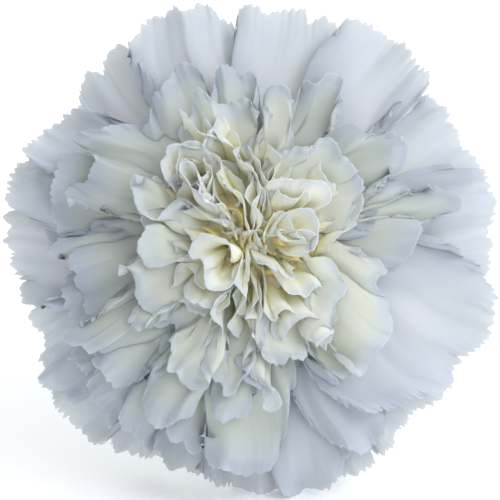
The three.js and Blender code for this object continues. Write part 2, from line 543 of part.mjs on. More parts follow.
// A tube with its foot closed, split at the mouth into five pointed teeth.
function calyxGeometry() {
  const sides = 40;
  const toothAt = (angle) => CALYX_TOOTH * (1 - Math.abs(((angle * 5) / (2 * Math.PI)) % 1 - 0.5) * 2);
  const depths = [-CALYX_DEPTH, -CALYX_DEPTH * 0.93, -CALYX_DEPTH * 0.75, -CALYX_DEPTH * 0.45, -2.5];
  const wallRing = (inset) => (z) => ring(sides, () => calyxRadius(z) - inset, () => z);
  const rimRing = (inset) => ring(sides, () => CALYX_MOUTH + 0.35 - inset, toothAt);
  const floor = -CALYX_DEPTH + CALYX_WALL;
  return tube([
    ring(sides, () => 0, () => -CALYX_DEPTH),
    ...depths.map(wallRing(0)),
    rimRing(0),
    rimRing(CALYX_WALL),
    ...depths.slice(1).reverse().map(wallRing(CALYX_WALL)),
    ring(sides, () => calyxRadius(floor) - CALYX_WALL - 0.6, () => floor),
    ring(sides, () => 0, () => floor),
  ], false);
}

// The bracts: two pairs of short broad scales, grown together round the calyx's foot.
function bractGeometry() {
  const sides = 32;
  const foot = -CALYX_DEPTH - 2.6;
  const scaleAt = (angle) => foot + 3.6 + (BRACT_LENGTH - 3.6) * Math.abs(Math.cos(2 * angle)) ** 0.4;
  const inside = (z) => calyxRadius(z) + GAP;
  const around = (z, thickness) => ring(sides, () => inside(z) + thickness, () => z);
  const rim = (thickness) => ring(sides, (a) => inside(scaleAt(a)) + thickness, scaleAt);
  const half = (thickness) => ring(sides, (a) => inside((foot + 3 + scaleAt(a)) / 2) + thickness,
    (a) => (foot + 3 + scaleAt(a)) / 2);
  const collar = (radius, z) => ring(sides, () => radius, () => z);
  return tube([
    collar(STEM_RADIUS + GAP + BRACT_WALL, foot),
    around(-CALYX_DEPTH + 0.4, BRACT_WALL),
    half(BRACT_WALL),
    rim(BRACT_WALL * 0.9),
    rim(0),
    half(0),
    around(-CALYX_DEPTH + 0.1, 0),
    collar(STEM_RADIUS + GAP, -CALYX_DEPTH - GAP - 0.3),
    collar(STEM_RADIUS + GAP, foot),
  ], true);
}

// ---------- stem ----------
// Round, nearly straight, swollen at the joint where the leaves grow, and cut square at its end.
const stemBow = (z) => 1.1 * Math.sin(Math.PI * (-z - CALYX_DEPTH) / (STEM_END - CALYX_DEPTH));

function stemGeometry() {
  const top = -CALYX_DEPTH - GAP - 0.2;
  const knot = (z) => (KNOT_RADIUS - STEM_RADIUS) * Math.exp(-(((z + KNOT) / 2.2) ** 2));
  const levels = [top, -34, -40, -46, -52, -55, -56.6, -KNOT, -59.4, -61, -65, -71, -78, -STEM_END];
  const shaft = levels.map((z) => ring(12, () => STEM_RADIUS + knot(z), () => z));
  const rings = [ring(12, () => 0, () => top), ...shaft, ring(12, () => 0, () => -STEM_END)];
  rings.flat().forEach((p) => { p.x += stemBow(p.z); });
  return rested(solidOf(tube(rings.reverse(), false)));
}

// ---------- leaf pair ----------
// Two narrow channelled leaves that face each other, joined round the stem by a short sheath. They
// arch out to the sides and their tips lie on the surface.
function leafGeometry() {
  const sheathSides = 16;
  const inner = KNOT_RADIUS + GAP;
  const [low, high] = [-KNOT - 1.5, -KNOT + 3.5];
  const collar = (radius, z) => ring(sheathSides, () => radius, () => z)
    .map((p) => p.setX(p.x + stemBow(z)));
  const sheath = tube([collar(inner + 0.8, low), collar(inner + 1, high - 1), collar(inner + 0.6, high),
    collar(inner, high), collar(inner, low)], true);

  const leaf = (route) => {
    const line = new THREE.CatmullRomCurve3(route.map((p) => new THREE.Vector3(...p)));
    const rows = 9;
    const shape = (t) => LEAF_WIDTH / 2 * Math.min(1, 0.5 + 2 * t) * (1 - t ** 2.2) + 0.35;
    const side = new THREE.Vector3();
    const grid = Array.from({ length: rows + 1 }, (_, i) => {
      const t = i / rows;
      const centre = line.getPointAt(t);
      const run = line.getTangentAt(t);
      side.crossVectors(run, ACROSS_LEAF).normalize();
      const down = new THREE.Vector3().crossVectors(side, run).normalize();
      return [-1, -0.5, 0, 0.5, 1].map((s) => centre.clone()
        .addScaledVector(side, s * shape(t))
        .addScaledVector(down, -0.28 * shape(t) * Math.abs(s)));
    });
    return blade(grid, LEAF_BLADE);
  };
  const pair = [sheath, leaf(LEAF_RIGHT), leaf(LEAF_LEFT)].map(solidOf);
  return rested(pair.reduce((joined, piece) => joined.add(piece)));
}

// ---------- the flower ----------
const pieces = [
  ['bloom', bloomGeometry(), { color: 0xd9dfe4, roughness: 0.75 }],
  ['calyx', outerSkin(solidOf(calyxGeometry())), { color: 0x8fa36b, roughness: 0.6 }],
  ['calyx_bracts', outerSkin(solidOf(bractGeometry())), { color: 0x86996a, roughness: 0.6 }],
  ['stem', stemGeometry(), { color: 0x7f9a78, roughness: 0.55 }],
  ['leaf_pair', leafGeometry(), { color: 0x86a08a, roughness: 0.6 }],
];
for (const [name, geometry, finish] of pieces) {
  geometry.computeVertexNormals();
  const mesh = new THREE.Mesh(geometry, new THREE.MeshStandardMaterial({ ...finish, metalness: 0 }));
  mesh.name = name;
  flower.add(mesh);
}

const cutCarnation = new THREE.Group();
cutCarnation.add(flower);
cutCarnation.updateMatrixWorld(true);
const box = new THREE.Box3().setFromObject(flower, true);
flower.position.x -= (box.min.x + box.max.x) / 2;
flower.position.y -= (box.min.y + box.max.y) / 2;
flower.position.z -= box.min.z;

export default cutCarnation;
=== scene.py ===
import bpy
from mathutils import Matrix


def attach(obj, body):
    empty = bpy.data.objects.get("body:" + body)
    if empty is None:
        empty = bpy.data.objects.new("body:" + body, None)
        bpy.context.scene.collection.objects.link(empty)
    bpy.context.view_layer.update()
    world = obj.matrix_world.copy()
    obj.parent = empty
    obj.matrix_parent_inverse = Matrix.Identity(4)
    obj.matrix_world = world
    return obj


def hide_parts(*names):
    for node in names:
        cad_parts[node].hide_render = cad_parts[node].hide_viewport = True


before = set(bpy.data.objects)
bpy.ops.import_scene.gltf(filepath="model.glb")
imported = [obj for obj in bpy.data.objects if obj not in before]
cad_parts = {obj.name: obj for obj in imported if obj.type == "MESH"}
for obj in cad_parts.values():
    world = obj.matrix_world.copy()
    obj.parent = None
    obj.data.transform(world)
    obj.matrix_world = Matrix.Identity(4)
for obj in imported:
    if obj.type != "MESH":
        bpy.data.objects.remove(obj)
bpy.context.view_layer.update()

import math
import bpy
import numpy as np
from mathutils import Matrix, Vector

# ---------- Where the flower lies
# The cut flower lies on the surface. The bloom leans on its lowest petals with its axis pointing up by
# LEAN. Its own frame has X to the right and Y up as one looks at the face, and Z along the axis towards
# the viewer, from the middle of the calyx's mouth.
MM = 0.001
LEAN = math.radians(22)
MOUTH_RIGHT = 0.020  # where the middle of the calyx's mouth is in the row's frame, in mm
MOUTH_BACK = -26.827
MOUTH_HEIGHT = 33.0
FLOWER = Matrix.Translation(Vector((MOUTH_RIGHT, MOUTH_BACK, MOUTH_HEIGHT)) * MM) @ \
    Matrix.Rotation(math.pi / 2 - LEAN, 4, "X") @ Matrix.Scale(MM, 4)

# ---------- Camera, floor and light
# The photograph looks straight along the bloom's axis and the bloom fills it from edge to edge. The
# floor is a sheet of opal acrylic under soft lamps, the strongest from the upper right. It is lit a
# little from below too, so it stays white round the flower.
VIEW_DISTANCE = 1100
FACE_WIDTH = 75.0  # what the picture shows from side to side, in mm
GUARD_PLANE = 4.0  # how far above the calyx's mouth it shows that
SENSOR_WIDTH = 36
LAMP_AIM = (0, 0, 10)  # the middle of the bloom, in its own frame
FLOOR_SIZE = 4.0
FLOOR_PLACE = (0, 0.6, -0.00005)  # a hair below the petals
FLOOR_GRAIN = 900.0  # grains across the sheet, coarser than life so that they show

camera_data = bpy.data.cameras.new("camera")
camera_data.sensor_width = SENSOR_WIDTH
camera_data.lens = SENSOR_WIDTH * (VIEW_DISTANCE - GUARD_PLANE) / FACE_WIDTH
camera_data.clip_end = 20
camera = bpy.data.objects.new("camera", camera_data)
camera.matrix_world = Matrix.Translation(FLOWER @ Vector((0, 0, VIEW_DISTANCE))) @ \
    Matrix.Rotation(math.pi / 2 - LEAN, 4, "X")
bpy.context.scene.collection.objects.link(camera)
bpy.context.scene.camera = camera
bpy.context.scene.view_settings.view_transform = "Standard"


def linear(hex_colour):
    """An sRGB hex colour, such as D9D0B4, as linear light, with full opacity."""
    parts = [int(hex_colour[k:k + 2], 16) / 255 for k in (0, 2, 4)]
    return [p / 12.92 if p <= 0.04045 else ((p + 0.055) / 1.055) ** 2.4 for p in parts] + [1]


def softbox(name, direction, distance, size, power, colour):
    """A square lamp in the direction given in the flower's own frame, turned to face the bloom. Its
    distance and size are in metres, its power in watts."""
    lamp = bpy.data.lights.new(name, "AREA")
    lamp.shape = "SQUARE"
    lamp.size = size
    lamp.energy = power
    lamp.color = linear(colour)[:3]
    holder = bpy.data.objects.new(name, lamp)
    place = FLOWER.to_3x3().normalized() @ Vector(direction).normalized() * distance
    holder.location = FLOWER @ Vector(LAMP_AIM) + place
    holder.rotation_euler = (-place).to_track_quat("-Z", "Y").to_euler()
    bpy.context.scene.collection.objects.link(holder)


softbox("key_lamp", (0.78, 0.52, 0.48), 0.9, 0.5, 3.2, "FDFDFD")
softbox("front_lamp", (0.6, 0.42, 1.0), 1.3, 0.7, 3.1, "F9FBFF")
softbox("back_lamp", (-0.2, 0.8, -0.5), 1.4, 1.2, 3.2, "F9FBFF")
softbox("side_lamp", (-0.7, 0.65, -0.35), 1.3, 1.2, 1.6, "F9FBFF")
softbox("top_lamp", (0.1, 0.93, 0.37), 1.3, 1.8, 3.4, "F9FBFF")
softbox("rear_lamp", (0.15, 0.75, -1.0), 1.4, 1.0, 4.2, "FFF1DE")

world = bpy.data.worlds.new("studio")
world.use_nodes = True
world.node_tree.nodes["Background"].inputs["Color"].default_value = linear("F0F4F9")
world.node_tree.nodes["Background"].inputs["Strength"].default_value = 0.6
bpy.context.scene.world = world


def material(name, settings):
    """A new material, its node tree, and its Principled shader with its sockets set."""
    made = bpy.data.materials.new(name)
    made.use_nodes = True
    shader = made.node_tree.nodes["Principled BSDF"]
    for socket, value in settings.items():
        shader.inputs[socket].default_value = value
    return made, made.node_tree, shader


def node(tree, kind, settings=(), links=()):
    """A node with its settings, as attribute or socket values, and its links, as socket: source. Numbers
    stand for sockets: 1 to 4 of a MapRange are From Min, From Max, To Min and To Max, and 6 and 7 of a
    Mix are its two colours."""
    made = tree.nodes.new("ShaderNode" + kind)
    for key, value in dict(settings).items():
        if isinstance(key, str) and hasattr(made, key):
            setattr(made, key, value)
        else:
            made.inputs[key].default_value = value
    for key, source in dict(links).items():
        tree.links.new(source, made.inputs[key])
    return made


# Opal acrylic, cast and finely matted: an even milky white without gloss.
opal_acrylic, tree, shader = material("opal_acrylic", {
    "Roughness": 0.9, "Emission Color": linear("FAFBFC"), "Emission Strength": 0.22})
grain = node(tree, "TexNoise", {"Scale": FLOOR_GRAIN, "Detail": 3.0})
tint = node(tree, "Mix", {"data_type": "RGBA", 6: linear("FAFBFC"), 7: linear("F6F7F9")},
            {0: grain.outputs["Fac"]})
tree.links.new(tint.outputs[2], shader.inputs["Base Color"])
bpy.ops.mesh.primitive_plane_add(size=FLOOR_SIZE, location=FLOOR_PLACE)
floor = bpy.context.object
floor.name = "floor"
floor.data.materials.append(opal_acrylic)

# ---------- Bloom: the petals
# Each petal is a soft blade about a quarter of a millimetre thick. It stands up out of the calyx on a
# narrow claw, bends over, and spreads into a fluted fan whose rim is cut into fine teeth. The outermost
# bend right back, the innermost stand crumpled against each other.
#
# The petals from the outside in: name, height of the rim above the calyx mouth, angle from the axis at
# which the blade meets its rim, and points along the rim, how far right and how far up the face in turn,
# in mm.
PETALS = [
    ("guard_sw", 1, 98, [-14, -27.5, -12.4, -32.6, -14, -31.6, -15.4, -32, -17.2, -32, -19, -30.9,
        -20.8, -30.3, -20.8, -28, -19.5, -24]),
    ("guard_ssw", 1.6, 98, [-4, -29, -6.6, -33.2, -8.7, -33.8, -10, -32.9, -11.5, -33.4, -13.4, -32,
        -14.5, -28.5, -13.5, -24.5]),
    ("guard_wsw", 1.4, 98, [-19, -24, -21.2, -28.3, -22.8, -29.3, -24.6, -28.6, -26.2, -27.2, -27.7, -25.8,
        -29, -24, -30, -22, -30.9, -20.6, -29, -17]),
    ("guard_west_low", 2, 98, [-27.5, -22.5, -30.9, -20.6, -31.6, -19.3, -31.2, -17.9, -32.1, -16.7,
        -31.2, -15, -31.4, -13, -32.6, -11.8, -33.3, -10, -32.6, -8.7, -29.5, -6]),
    ("guard_se_low", 2.4, 98, [14.5, -27.5, 17.8, -30, 18.9, -32, 18, -32.9, 17, -33.5, 15, -34.3,
        13.3, -34, 10.8, -30.5, 9.5, -27.5]),
    ("guard_south", 2.8, 97, [-5.8, -28, -6.9, -33.6, -5.4, -35.5, -3, -36.4, -1.2, -36.9, 1.2, -37.3,
        3.6, -37.1, 5.4, -35.8, 6.4, -31]),
    ("guard_sse", 3.4, 97, [1.5, -31, 4.6, -36.2, 6.8, -37.4, 8.6, -36.7, 10.2, -36.2, 12, -35.8,
        13.6, -33.9, 15.6, -30]),
    ("guard_se", 3, 97, [27, -17.5, 29.7, -21, 28.6, -22.8, 26.4, -24.2, 24.6, -25.1, 23.4, -26.7,
        22, -27.6, 21.4, -30, 19.8, -31.2, 18.6, -30, 16.5, -26]),
    ("guard_nnw_fan", 2.6, 97, [-24, 18.5, -26.1, 21.6, -26.1, 23.8, -25.2, 25.8, -24.2, 27.3, -22.3, 26.8,
        -22.2, 28.6, -21, 30.3, -19.6, 30.9, -18, 30.2, -14.8, 27.5]),
    ("guard_west", 3.6, 96, [-28, -6, -31.6, -8.1, -33.9, -7.8, -35.2, -5.4, -36.4, -2.6, -36.2, 0,
        -37.2, 1.4, -36.6, 3.6, -37.2, 5.2, -35.6, 6.3, -31.5, 8]),
    ("guard_west_up", 4.2, 95, [-31.5, 3.5, -35.8, 6.2, -37, 8, -36.4, 10.2, -36, 12.7, -34, 13.4,
        -32.3, 13.8, -28, 14]),
    ("guard_nw", 4.6, 94, [-29.5, 12, -33, 13.8, -34.1, 15.4, -32.2, 17.2, -30, 19, -28, 20.5, -26, 21.2,
        -23.8, 21.2, -21.8, 20.6, -21, 19.4]),
    ("guard_north_w", 3.8, 96, [-15, 26, -18.2, 30.6, -17.1, 32.8, -15.4, 35.1, -13.6, 35.7, -11.7, 36.9,
        -10.2, 35.7, -8.8, 36.7, -6.9, 37.3, -4.8, 35.8, -2.4, 34.2, -0.6, 29.5]),
    ("guard_north", 5, 95, [-2.6, 28.5, -2.2, 34.2, -1.5, 36.5, 0.6, 36.8, 2.2, 35.9, 4, 36, 6.2, 36.6,
        8.4, 36.5, 8.9, 34.5, 10.8, 35.5, 12.4, 34.8, 13.8, 33.2, 15, 29]),
    ("guard_ne_low", 4.4, 96, [24.5, 21, 26.9, 23.7, 28.4, 22.2, 29.8, 21, 30.3, 19.6, 31.6, 17.9,
        32, 15.8, 33.4, 14.8, 34.8, 13.2, 34.2, 11.5, 31, 8.4]),
    ("guard_ne", 6.6, 92, [11.6, 17.5, 12.4, 21, 13.2, 26, 13.2, 32.6, 14.4, 34.7, 16.6, 34.5, 19.4, 33.5,
        21.3, 31.8, 22.8, 31.6, 24.6, 29.9, 25.2, 28, 26.9, 27, 27.2, 25.6, 26.2, 24, 23.2, 23.5,
        21.2, 21]),
    ("guard_east", 5.6, 93, [31, 12.5, 34.6, 12.3, 36, 11, 36.4, 9, 37.2, 7.2, 37, 5, 36.4, 3, 36.8, 1,
        35.9, -0.8, 36.3, -3, 33, -4.5]),
    ("south_east_strip", 6.2, 86, [20.4, -24, 20.8, -27, 19.2, -28.8, 17, -30.8, 14.2, -29.9, 11.6, -28.7,
        9.2, -26.5, 7.2, -23.6, 5.8, -20.8, 4.4, -17]),
    ("guard_ese", 7.2, 90, [29.5, 0.5, 34, -1.8, 36, -4.4, 37.2, -7, 36.6, -8.7, 36.9, -10.3, 36.3, -12.4,
        34.9, -14.6, 32.6, -16.5, 31, -18.2, 30.5, -20.6, 27.6, -22, 24.8, -22.6, 21.6, -24.1, 18.4, -24.2,
        15.2, -23.2, 13.5, -21.2, 13, -18.6]),
    ("left_fill_low", 7, 84, [-26.6, -2.6, -28.4, -5, -28.1, -7.4, -27.3, -10.4, -26, -13.5, -27.4, -16.6,
        -25.5, -18]),
    ("left_tongue", 8.5, 82, [-30, 8.6, -29.6, 5, -29, 2.6, -27.6, 2.3, -25.6, 2.9, -23, 2.7]),
    ("left_finger", 9.6, 80, [-24, 3.2, -28.6, 1.7, -30.5, 0, -29.6, -1.1, -27, -1.6]),
    ("sw_tongue", 7.5, 82, [-17.6, -20.2, -19.2, -24, -21, -26.8, -22, -24.5, -23.8, -22.4, -24.6, -20.4,
        -23.2, -17.5]),
    ("sw_blade", 8.2, 82, [-13.6, -25.5, -14.8, -30.6, -16.6, -29.2, -18, -27.4, -19.8, -26.4,
        -19.2, -23.6, -17.4, -20.6, -15.4, -17.6]),
    ("south_w_leaf", 9, 80, [-5.8, -25.6, -7, -29.6, -8.8, -30.6, -10, -29.3, -11.8, -28.9, -12.7, -27,
        -12, -23]),
    ("south_broad", 10.2, 78, [5.9, -21.6, 5.6, -26, 4.2, -31.2, 2, -33.3, -1, -33.8, -4.2, -33.3,
        -6.2, -31.8, -6.9, -29, -6.4, -25.2]),
    ("west_lower_fan", 11.5, 76, [-24, 3, -27, -0.6, -27.5, -2.6, -26, -3.4, -25.9, -5, -24.5, -7,
        -24.6, -8.4, -23.6, -10.1, -21, -8.8, -18.5, -7.8]),
    ("sw_round", 11.8, 76, [-13.9, -14.5, -15.2, -18.2, -17.4, -20.1, -20, -20.5, -22.2, -19.4, -23.4, -17,
        -22.9, -15, -22, -12.8]),
    ("sw_finger", 13, 74, [-17.5, -17.2, -20.4, -16.4, -22.8, -15.1, -24.2, -15.7, -25.4, -14.4,
        -26.7, -14.4, -27.5, -13.2, -26.6, -11.8, -23.8, -10.4, -20, -9.2, -16.8, -8.2]),
    ("ssw_broad", 12.2, 76, [-7.6, -20.5, -8.4, -24.6, -11, -26, -13.2, -27.1, -15, -26.2, -16, -23.8,
        -15.6, -20.4, -13.8, -17]),
    ("south_step", 13.6, 72, [1.2, -21, -0.4, -24.6, -3.4, -25.8, -5, -25.4, -5.8, -22.8, -6.2, -19.8]),
    ("west_broad", 12.6, 78, [-9, 18.2, -13.5, 18.5, -17, 18.9, -20.5, 18.8, -24, 18.2, -26.8, 17,
        -25, 15.2, -23.4, 14, -24.1, 12.2, -24.4, 10.2, -26.4, 9.7, -27.4, 8.2, -24.6, 7, -21.8, 6.2,
        -19, 5.4, -17, 3.8]),
    ("nnw_grey", 11, 80, [-15, 20.5, -14.2, 24, -12.4, 25.7, -11.2, 27.5, -9.8, 28, -8, 27.7, -7, 25.6,
        -6.4, 22.5]),
    ("north_grey", 12, 78, [-6, 22.5, -5, 26.3, -3.8, 27.6, -1.6, 26.8, 0.6, 26.5, 0.9, 24.6, 0.6, 21.5]),
    ("nne_blue", 13.4, 72, [5.8, 19, 7.2, 22.5, 7.8, 25, 8.8, 25.7, 10.2, 25.4, 11.6, 26.6, 13.4, 26.4,
        13.8, 24.8, 12.8, 22.2, 11.8, 19.2, 11.2, 16.4]),
    ("east_shade", 11.4, 78, [18.4, 8.2, 20.6, 9.8, 21.4, 10.6, 23.2, 10, 24.8, 8.3, 27.2, 9.6, 30, 8.7,
        32.2, 7.6, 31.6, 6, 27.5, 4.6]),
    ("ne_fold", 14.6, 68, [18.6, 17.6, 21, 18.2, 23.2, 17.1, 23.8, 15.2, 23.2, 13, 22, 11.6, 20.4, 10.8,
        19.6, 9]),
    ("east_blue", 12.8, 76, [16, 1.2, 18.6, 2.7, 21.2, 4, 23.6, 4.7, 25.8, 4.2, 25.3, 1.9, 24, -0.4,
        21.6, -2.6, 19, -4]),
    ("se_inner_lip", 14.4, 66, [17, -16.6, 15.2, -19, 13, -19.3, 11.4, -18.2, 10.2, -16, 9.4, -13]),
    ("east_cream", 16.4, 68, [16.6, -0.6, 19.2, -2.2, 20.5, -3.6, 19.2, -5.2, 19.4, -7.3, 20.6, -9.6,
        21.1, -12, 20.2, -14.6, 18.2, -16.2, 16.9, -17.5, 15.8, -15.4, 13.6, -14.4]),
    ("north_frill", 15.6, 60, [1.4, 17.8, 2.1, 20.8, 3.2, 22.8, 4.6, 24.2, 6, 23.9, 6.8, 22, 6.2, 19.4,
        5.6, 16.4]),
    ("north_light", 14.4, 66, [-8.6, 21.6, -8.2, 23.8, -6.8, 24.1, -5.6, 22.6, -3.6, 21.6, -1.8, 22.2,
        -0.2, 22.2, 0.6, 19.2]),
    ("south_cream", 16.6, 66, [1.4, -14.5, 0.8, -18.8, -1.2, -20.4, -3.6, -21.7, -4.4, -20.2, -6.1, -19.2,
        -6.4, -16.6, -5.8, -13.5]),
    ("ssw_lip", 17.2, 62, [-7.4, -13.5, -7.6, -17, -7.8, -19.9, -9.6, -19.6, -10.8, -18, -12.4, -17.8,
        -11.4, -15.8, -10.2, -14.2, -10.4, -11.8, -11.8, -11, -13.6, -11.3, -14.4, -10]),
    ("sw_knob", 16, 60, [-13.6, -9.6, -15, -12.2, -16.6, -13.1, -17.8, -11.8, -17.8, -10.4, -16.4, -9.4]),
    ("west_bowl", 17.6, 60, [-10.5, -9, -13.2, -9.9, -15, -9.2, -16.2, -7.2, -17, -4.9, -18.6, -4.1,
        -20.4, -3.6, -19, -2.4, -16.6, -1.8]),
    ("south_fold", 16, 58, [1.1, -14.4, 1.2, -17, 2.1, -19.2, 3.2, -21, 3.4, -23.2, 2.5, -23.4, 1.6, -21]),
    ("se_white", 18, 58, [9.4, -12, 9.3, -14.6, 8.5, -16.4, 6.6, -16.8, 4.6, -16.3, 2.6, -15.6, 1.9, -13.8,
        3.4, -11]),
    ("west_hook", 19.2, 52, [-8, -2.6, -9.6, -3, -11.4, -2.8, -13.4, -1.8, -15.4, -0.8, -16.6, 1,
        -16.9, 3.4]),
    ("east_strip", 18.2, 52, [11.6, -1.6, 12.6, -4.6, 13.4, -7.6, 13.6, -10.6, 12.8, -13.4, 11.5, -15.2]),
    ("nw_scoop", 19, 52, [-10.6, 6.4, -14, 6.4, -16.2, 6.9, -17.4, 8.6, -18.4, 10.8, -17.9, 12.2,
        -16, 12.2, -14.4, 11.2, -13.2, 10]),
    ("ne_heart", 19.4, 50, [3.5, 13.8, 6.2, 15.3, 9, 15, 11.6, 15.6, 13.8, 14.7, 14.9, 12.8, 15, 11.4,
        16.3, 9.8, 15.8, 7, 14.6, 4.4]),
    ("east_curl", 18.6, 50, [17.6, 9.2, 16.6, 7.4, 15.4, 4.6, 14, 1.6, 13, -0.8]),
    ("west_cream", 20.6, 50, [-3, 6, -8, 6.6, -13, 6.5, -17, 6.9, -15.6, 4.9, -14.2, 3.2, -12.8, 0.8,
        -10.4, -2]),
    ("sw_pleat", 19.8, 48, [-8, -4.3, -10.6, -4.5, -13.2, -5, -14.4, -6.7, -15.8, -6, -16.3, -3.6]),
    ("sw_white", 21, 46, [-5.8, -7, -6.6, -8.8, -8.6, -9.1, -9.9, -8, -10.8, -5.9]),
    ("se_pale", 20.4, 52, [11.2, -7.4, 11.3, -11, 11.4, -15, 9.8, -13.8, 8.4, -12, 6.4, -12.8, 4.6, -13.6,
        4, -10, 3, -8.4]),
    ("south_spoke_w", 20.6, 40, [-2.4, -5.6, -3.4, -8.2, -4.9, -10, -5.2, -11.6, -6, -13, -5.4, -15.4,
        -6.2, -17.4]),
    ("south_spoke", 21.4, 36, [-1.4, -3.4, -1.9, -6.5, -1.7, -9.8, -1.9, -12.6, -1.3, -14]),
    ("south_spoke_e", 20.8, 38, [2.4, -7.8, 1.5, -9, 1, -11.4, 1.6, -13, 0.4, -13.8, -0.3, -12]),
    ("south_dark_w", 18.4, 44, [-7.6, -9.6, -8.2, -12.6, -7.9, -15, -6.6, -17.2]),
    ("ne_inner", 21.6, 50, [4, 12.4, 5.6, 10.9, 7.8, 10.1, 9.8, 10.2, 11.3, 9.2, 11.4, 7.6, 10, 6.6]),
    ("east_round", 22.4, 48, [3.6, 5, 5.6, 5.8, 7.8, 5.4, 9.4, 4, 10.4, 2, 11, -0.2, 10, -1.6]),
    ("east_crumple", 23.6, 30, [4, 3.4, 5.2, 4.2, 6, 3.2, 7.4, 3.8, 8.2, 2.4, 7.9, 0.6, 6.8, -1]),
    ("se_band", 22, 34, [1, -3.6, 3, -3, 4.6, -3.8, 6.2, -5, 8.4, -5.3, 10.4, -5.4, 11.2, -6.4]),
    ("se_curl", 23.4, 24, [1.6, -1.4, 3.6, -1.4, 5.2, -2.2, 5.6, -3.6, 6.8, -4.6, 7.8, -3.6]),
    ("rosette_outer", 22, 44, [-2.2, 6, -2.1, 8.4, -2.6, 10.8, -3.8, 12.8, -5.4, 13.7, -7.2, 13.8,
        -7.6, 15.8, -9, 15.9, -10.4, 14.8, -11, 12.4]),
    ("rosette_mid", 23.2, 38, [-4.8, 7, -5.2, 8.6, -6.6, 9.9, -8.2, 11, -9.4, 12.2, -10, 13, -9.9, 10.6,
        -9.2, 8.8, -8, 7.6, -6.4, 7.2]),
    ("rosette_heart", 24, 34, [-8.8, 10, -8.3, 8.6, -7.2, 8, -6.2, 8.6]),
    ("nw_post", 21, 40, [-10.2, 8.6, -12.8, 9.8, -12.9, 12, -12.5, 14.2, -11.6, 15.6, -9.2, 16.6]),
    ("north_spoke_a", 20.4, 38, [-3, 11.8, -4, 13.6, -4.9, 15.6, -6, 17.8, -7, 19.6]),
    ("north_spoke_b", 20.8, 38, [-1.4, 13.2, -2.2, 15.2, -3, 17, -4.2, 18.4, -5.6, 19.8]),
    ("north_spoke_c", 22.4, 34, [0.9, 5.2, 0.5, 7.2, 1, 9, 0.4, 11.4, -0.7, 14, -1.4, 16.8]),
    ("north_spoke_d", 21.2, 36, [2.6, 8, 2.2, 10.6, 1.4, 13, 1, 16.4]),
    ("north_spoke_e", 20.6, 38, [3.4, 7.6, 3.4, 10.6, 3.3, 13.4, 3.6, 16.6]),
    ("centre_west", 23.8, 42, [-1, 1.2, -3, 2.2, -5.6, 1.8, -7.4, 0.8, -8.6, -0.5, -7.5, -1.5, -8.3, -3.2,
        -7.4, -4.8, -6.2, -6, -4.8, -5.6, -3.6, -3.6]),
]

BLADE = 0.26  # thickness of a petal
CLAW_RADIUS = 2.5  # from the axis to where the petals' claws leave the calyx
CLAW_WIDTH = 0.08  # width of a petal there, as a share of its rim
HEART_HEIGHT = 22  # the heart's top above the calyx's mouth
HEART_LEAN = (0.9, 4.2)  # the heart stands a little to the upper right of the bloom's middle
HEART_RADIUS = 13  # petals whose rims stand nearer the axis than this are crumpled
SHOULDERED = 16.5  # petals further out than this spread under their neighbours
SHOULDERS_TO = 15  # the width that they spread to where their rims are narrower
GUARD_HEIGHT = 7.5  # petals with lower rims than this lie in the guard ring
NOTCHED_HEIGHT = 8  # and with lower rims than this have deep notches
FAN_HEIGHT = 14.8  # petals with lower rims than this are smooth open fans
PULL = 0.4  # how gently a blade bends, as a share of its length
ARCH = 2.1  # how far a blade's sides lie below its middle
FULLNESS = 0.5  # how much wider a blade is half way up than straight sides would make it
HEART_FALL = 0.28  # how fast a heart petal's rim falls away from the heart's middle
DIP_SHARE = 0.16  # how far the ends of its rim dip, as a share of the rim's length
MOST_DIP = 2.6
WHOLE_RIM = 10  # a heart petal with a shorter rim than this bends further away from the axis

COLUMN = 0.28  # mm of rim to a column of the mesh
FEWEST_COLUMNS = 24
RIM_STEPS = 24  # between two of the points given for a rim
ROWS = np.concatenate([np.linspace(0.14, 0.9, 17), np.linspace(0.925, 1, 7)])  # shares of the way up
FIELD = 48  # mm from the bloom's middle to the edge of the field of heights that petals are laid on
CELL = 0.5  # mm across one cell of that field
CLEAR = 0.8  # between one petal and the next in the guard ring, and twice that further in
MOST_LIFT = 4.4  # how far a petal is lifted over the ones below it
laid = np.full((int(2 * FIELD / CELL), int(2 * FIELD / CELL)), -60.0)

# How the petals of the guard ring, of the other outer layers and of the heart differ: the heights in mm
# of their folds, ruffles and swell and of their rims' own waves, and shares of their other forms.
FOLD_LENGTHS = (13, 7.5)
RUFFLE_LENGTHS = (6.5, 3.3, 1.7)
RIM_LENGTHS = (5.2, 3.4)
OUTER = {"folds": (0.75, 0.26), "folded": 1, "ruffle": (0.4, 0.16, 0.06), "ruffle_rise": 9,
         "swell": (19, 0.9), "sway": 1, "arch": 1, "roll": 1, "rim": (0.32, 0.2)}
GUARD = {**OUTER, "folded": 0.7, "swell": (19, 0.6), "arch": 0.5}
HEART = {"folds": (0.42, 0.3), "folded": 1, "ruffle": (0.4, 0.2, 0.05), "ruffle_rise": 4,
         "swell": (8, 0.5), "sway": 0.5, "arch": 0.3, "roll": 0.35, "rim": (0.15, 0.1)}
DEEP_NOTCH, NOTCH, HEART_NOTCH = 1.1, 0.6, 0.3
PHASES = (0, 6.3)  # where in its turn a wave may start


def ramp(values, start, length):
    """0 up to the start, and 1 from a length beyond it on."""
    return np.clip((values - start) / length, 0, 1)


def left_of(heading):
    """The direction square to another across the face."""
    return np.array([-heading[1], heading[0]])


def travelled(line):
    """How far along a line each of its points is."""
    return np.concatenate([[0], np.cumsum(np.linalg.norm(np.diff(line, axis=0), axis=1))])


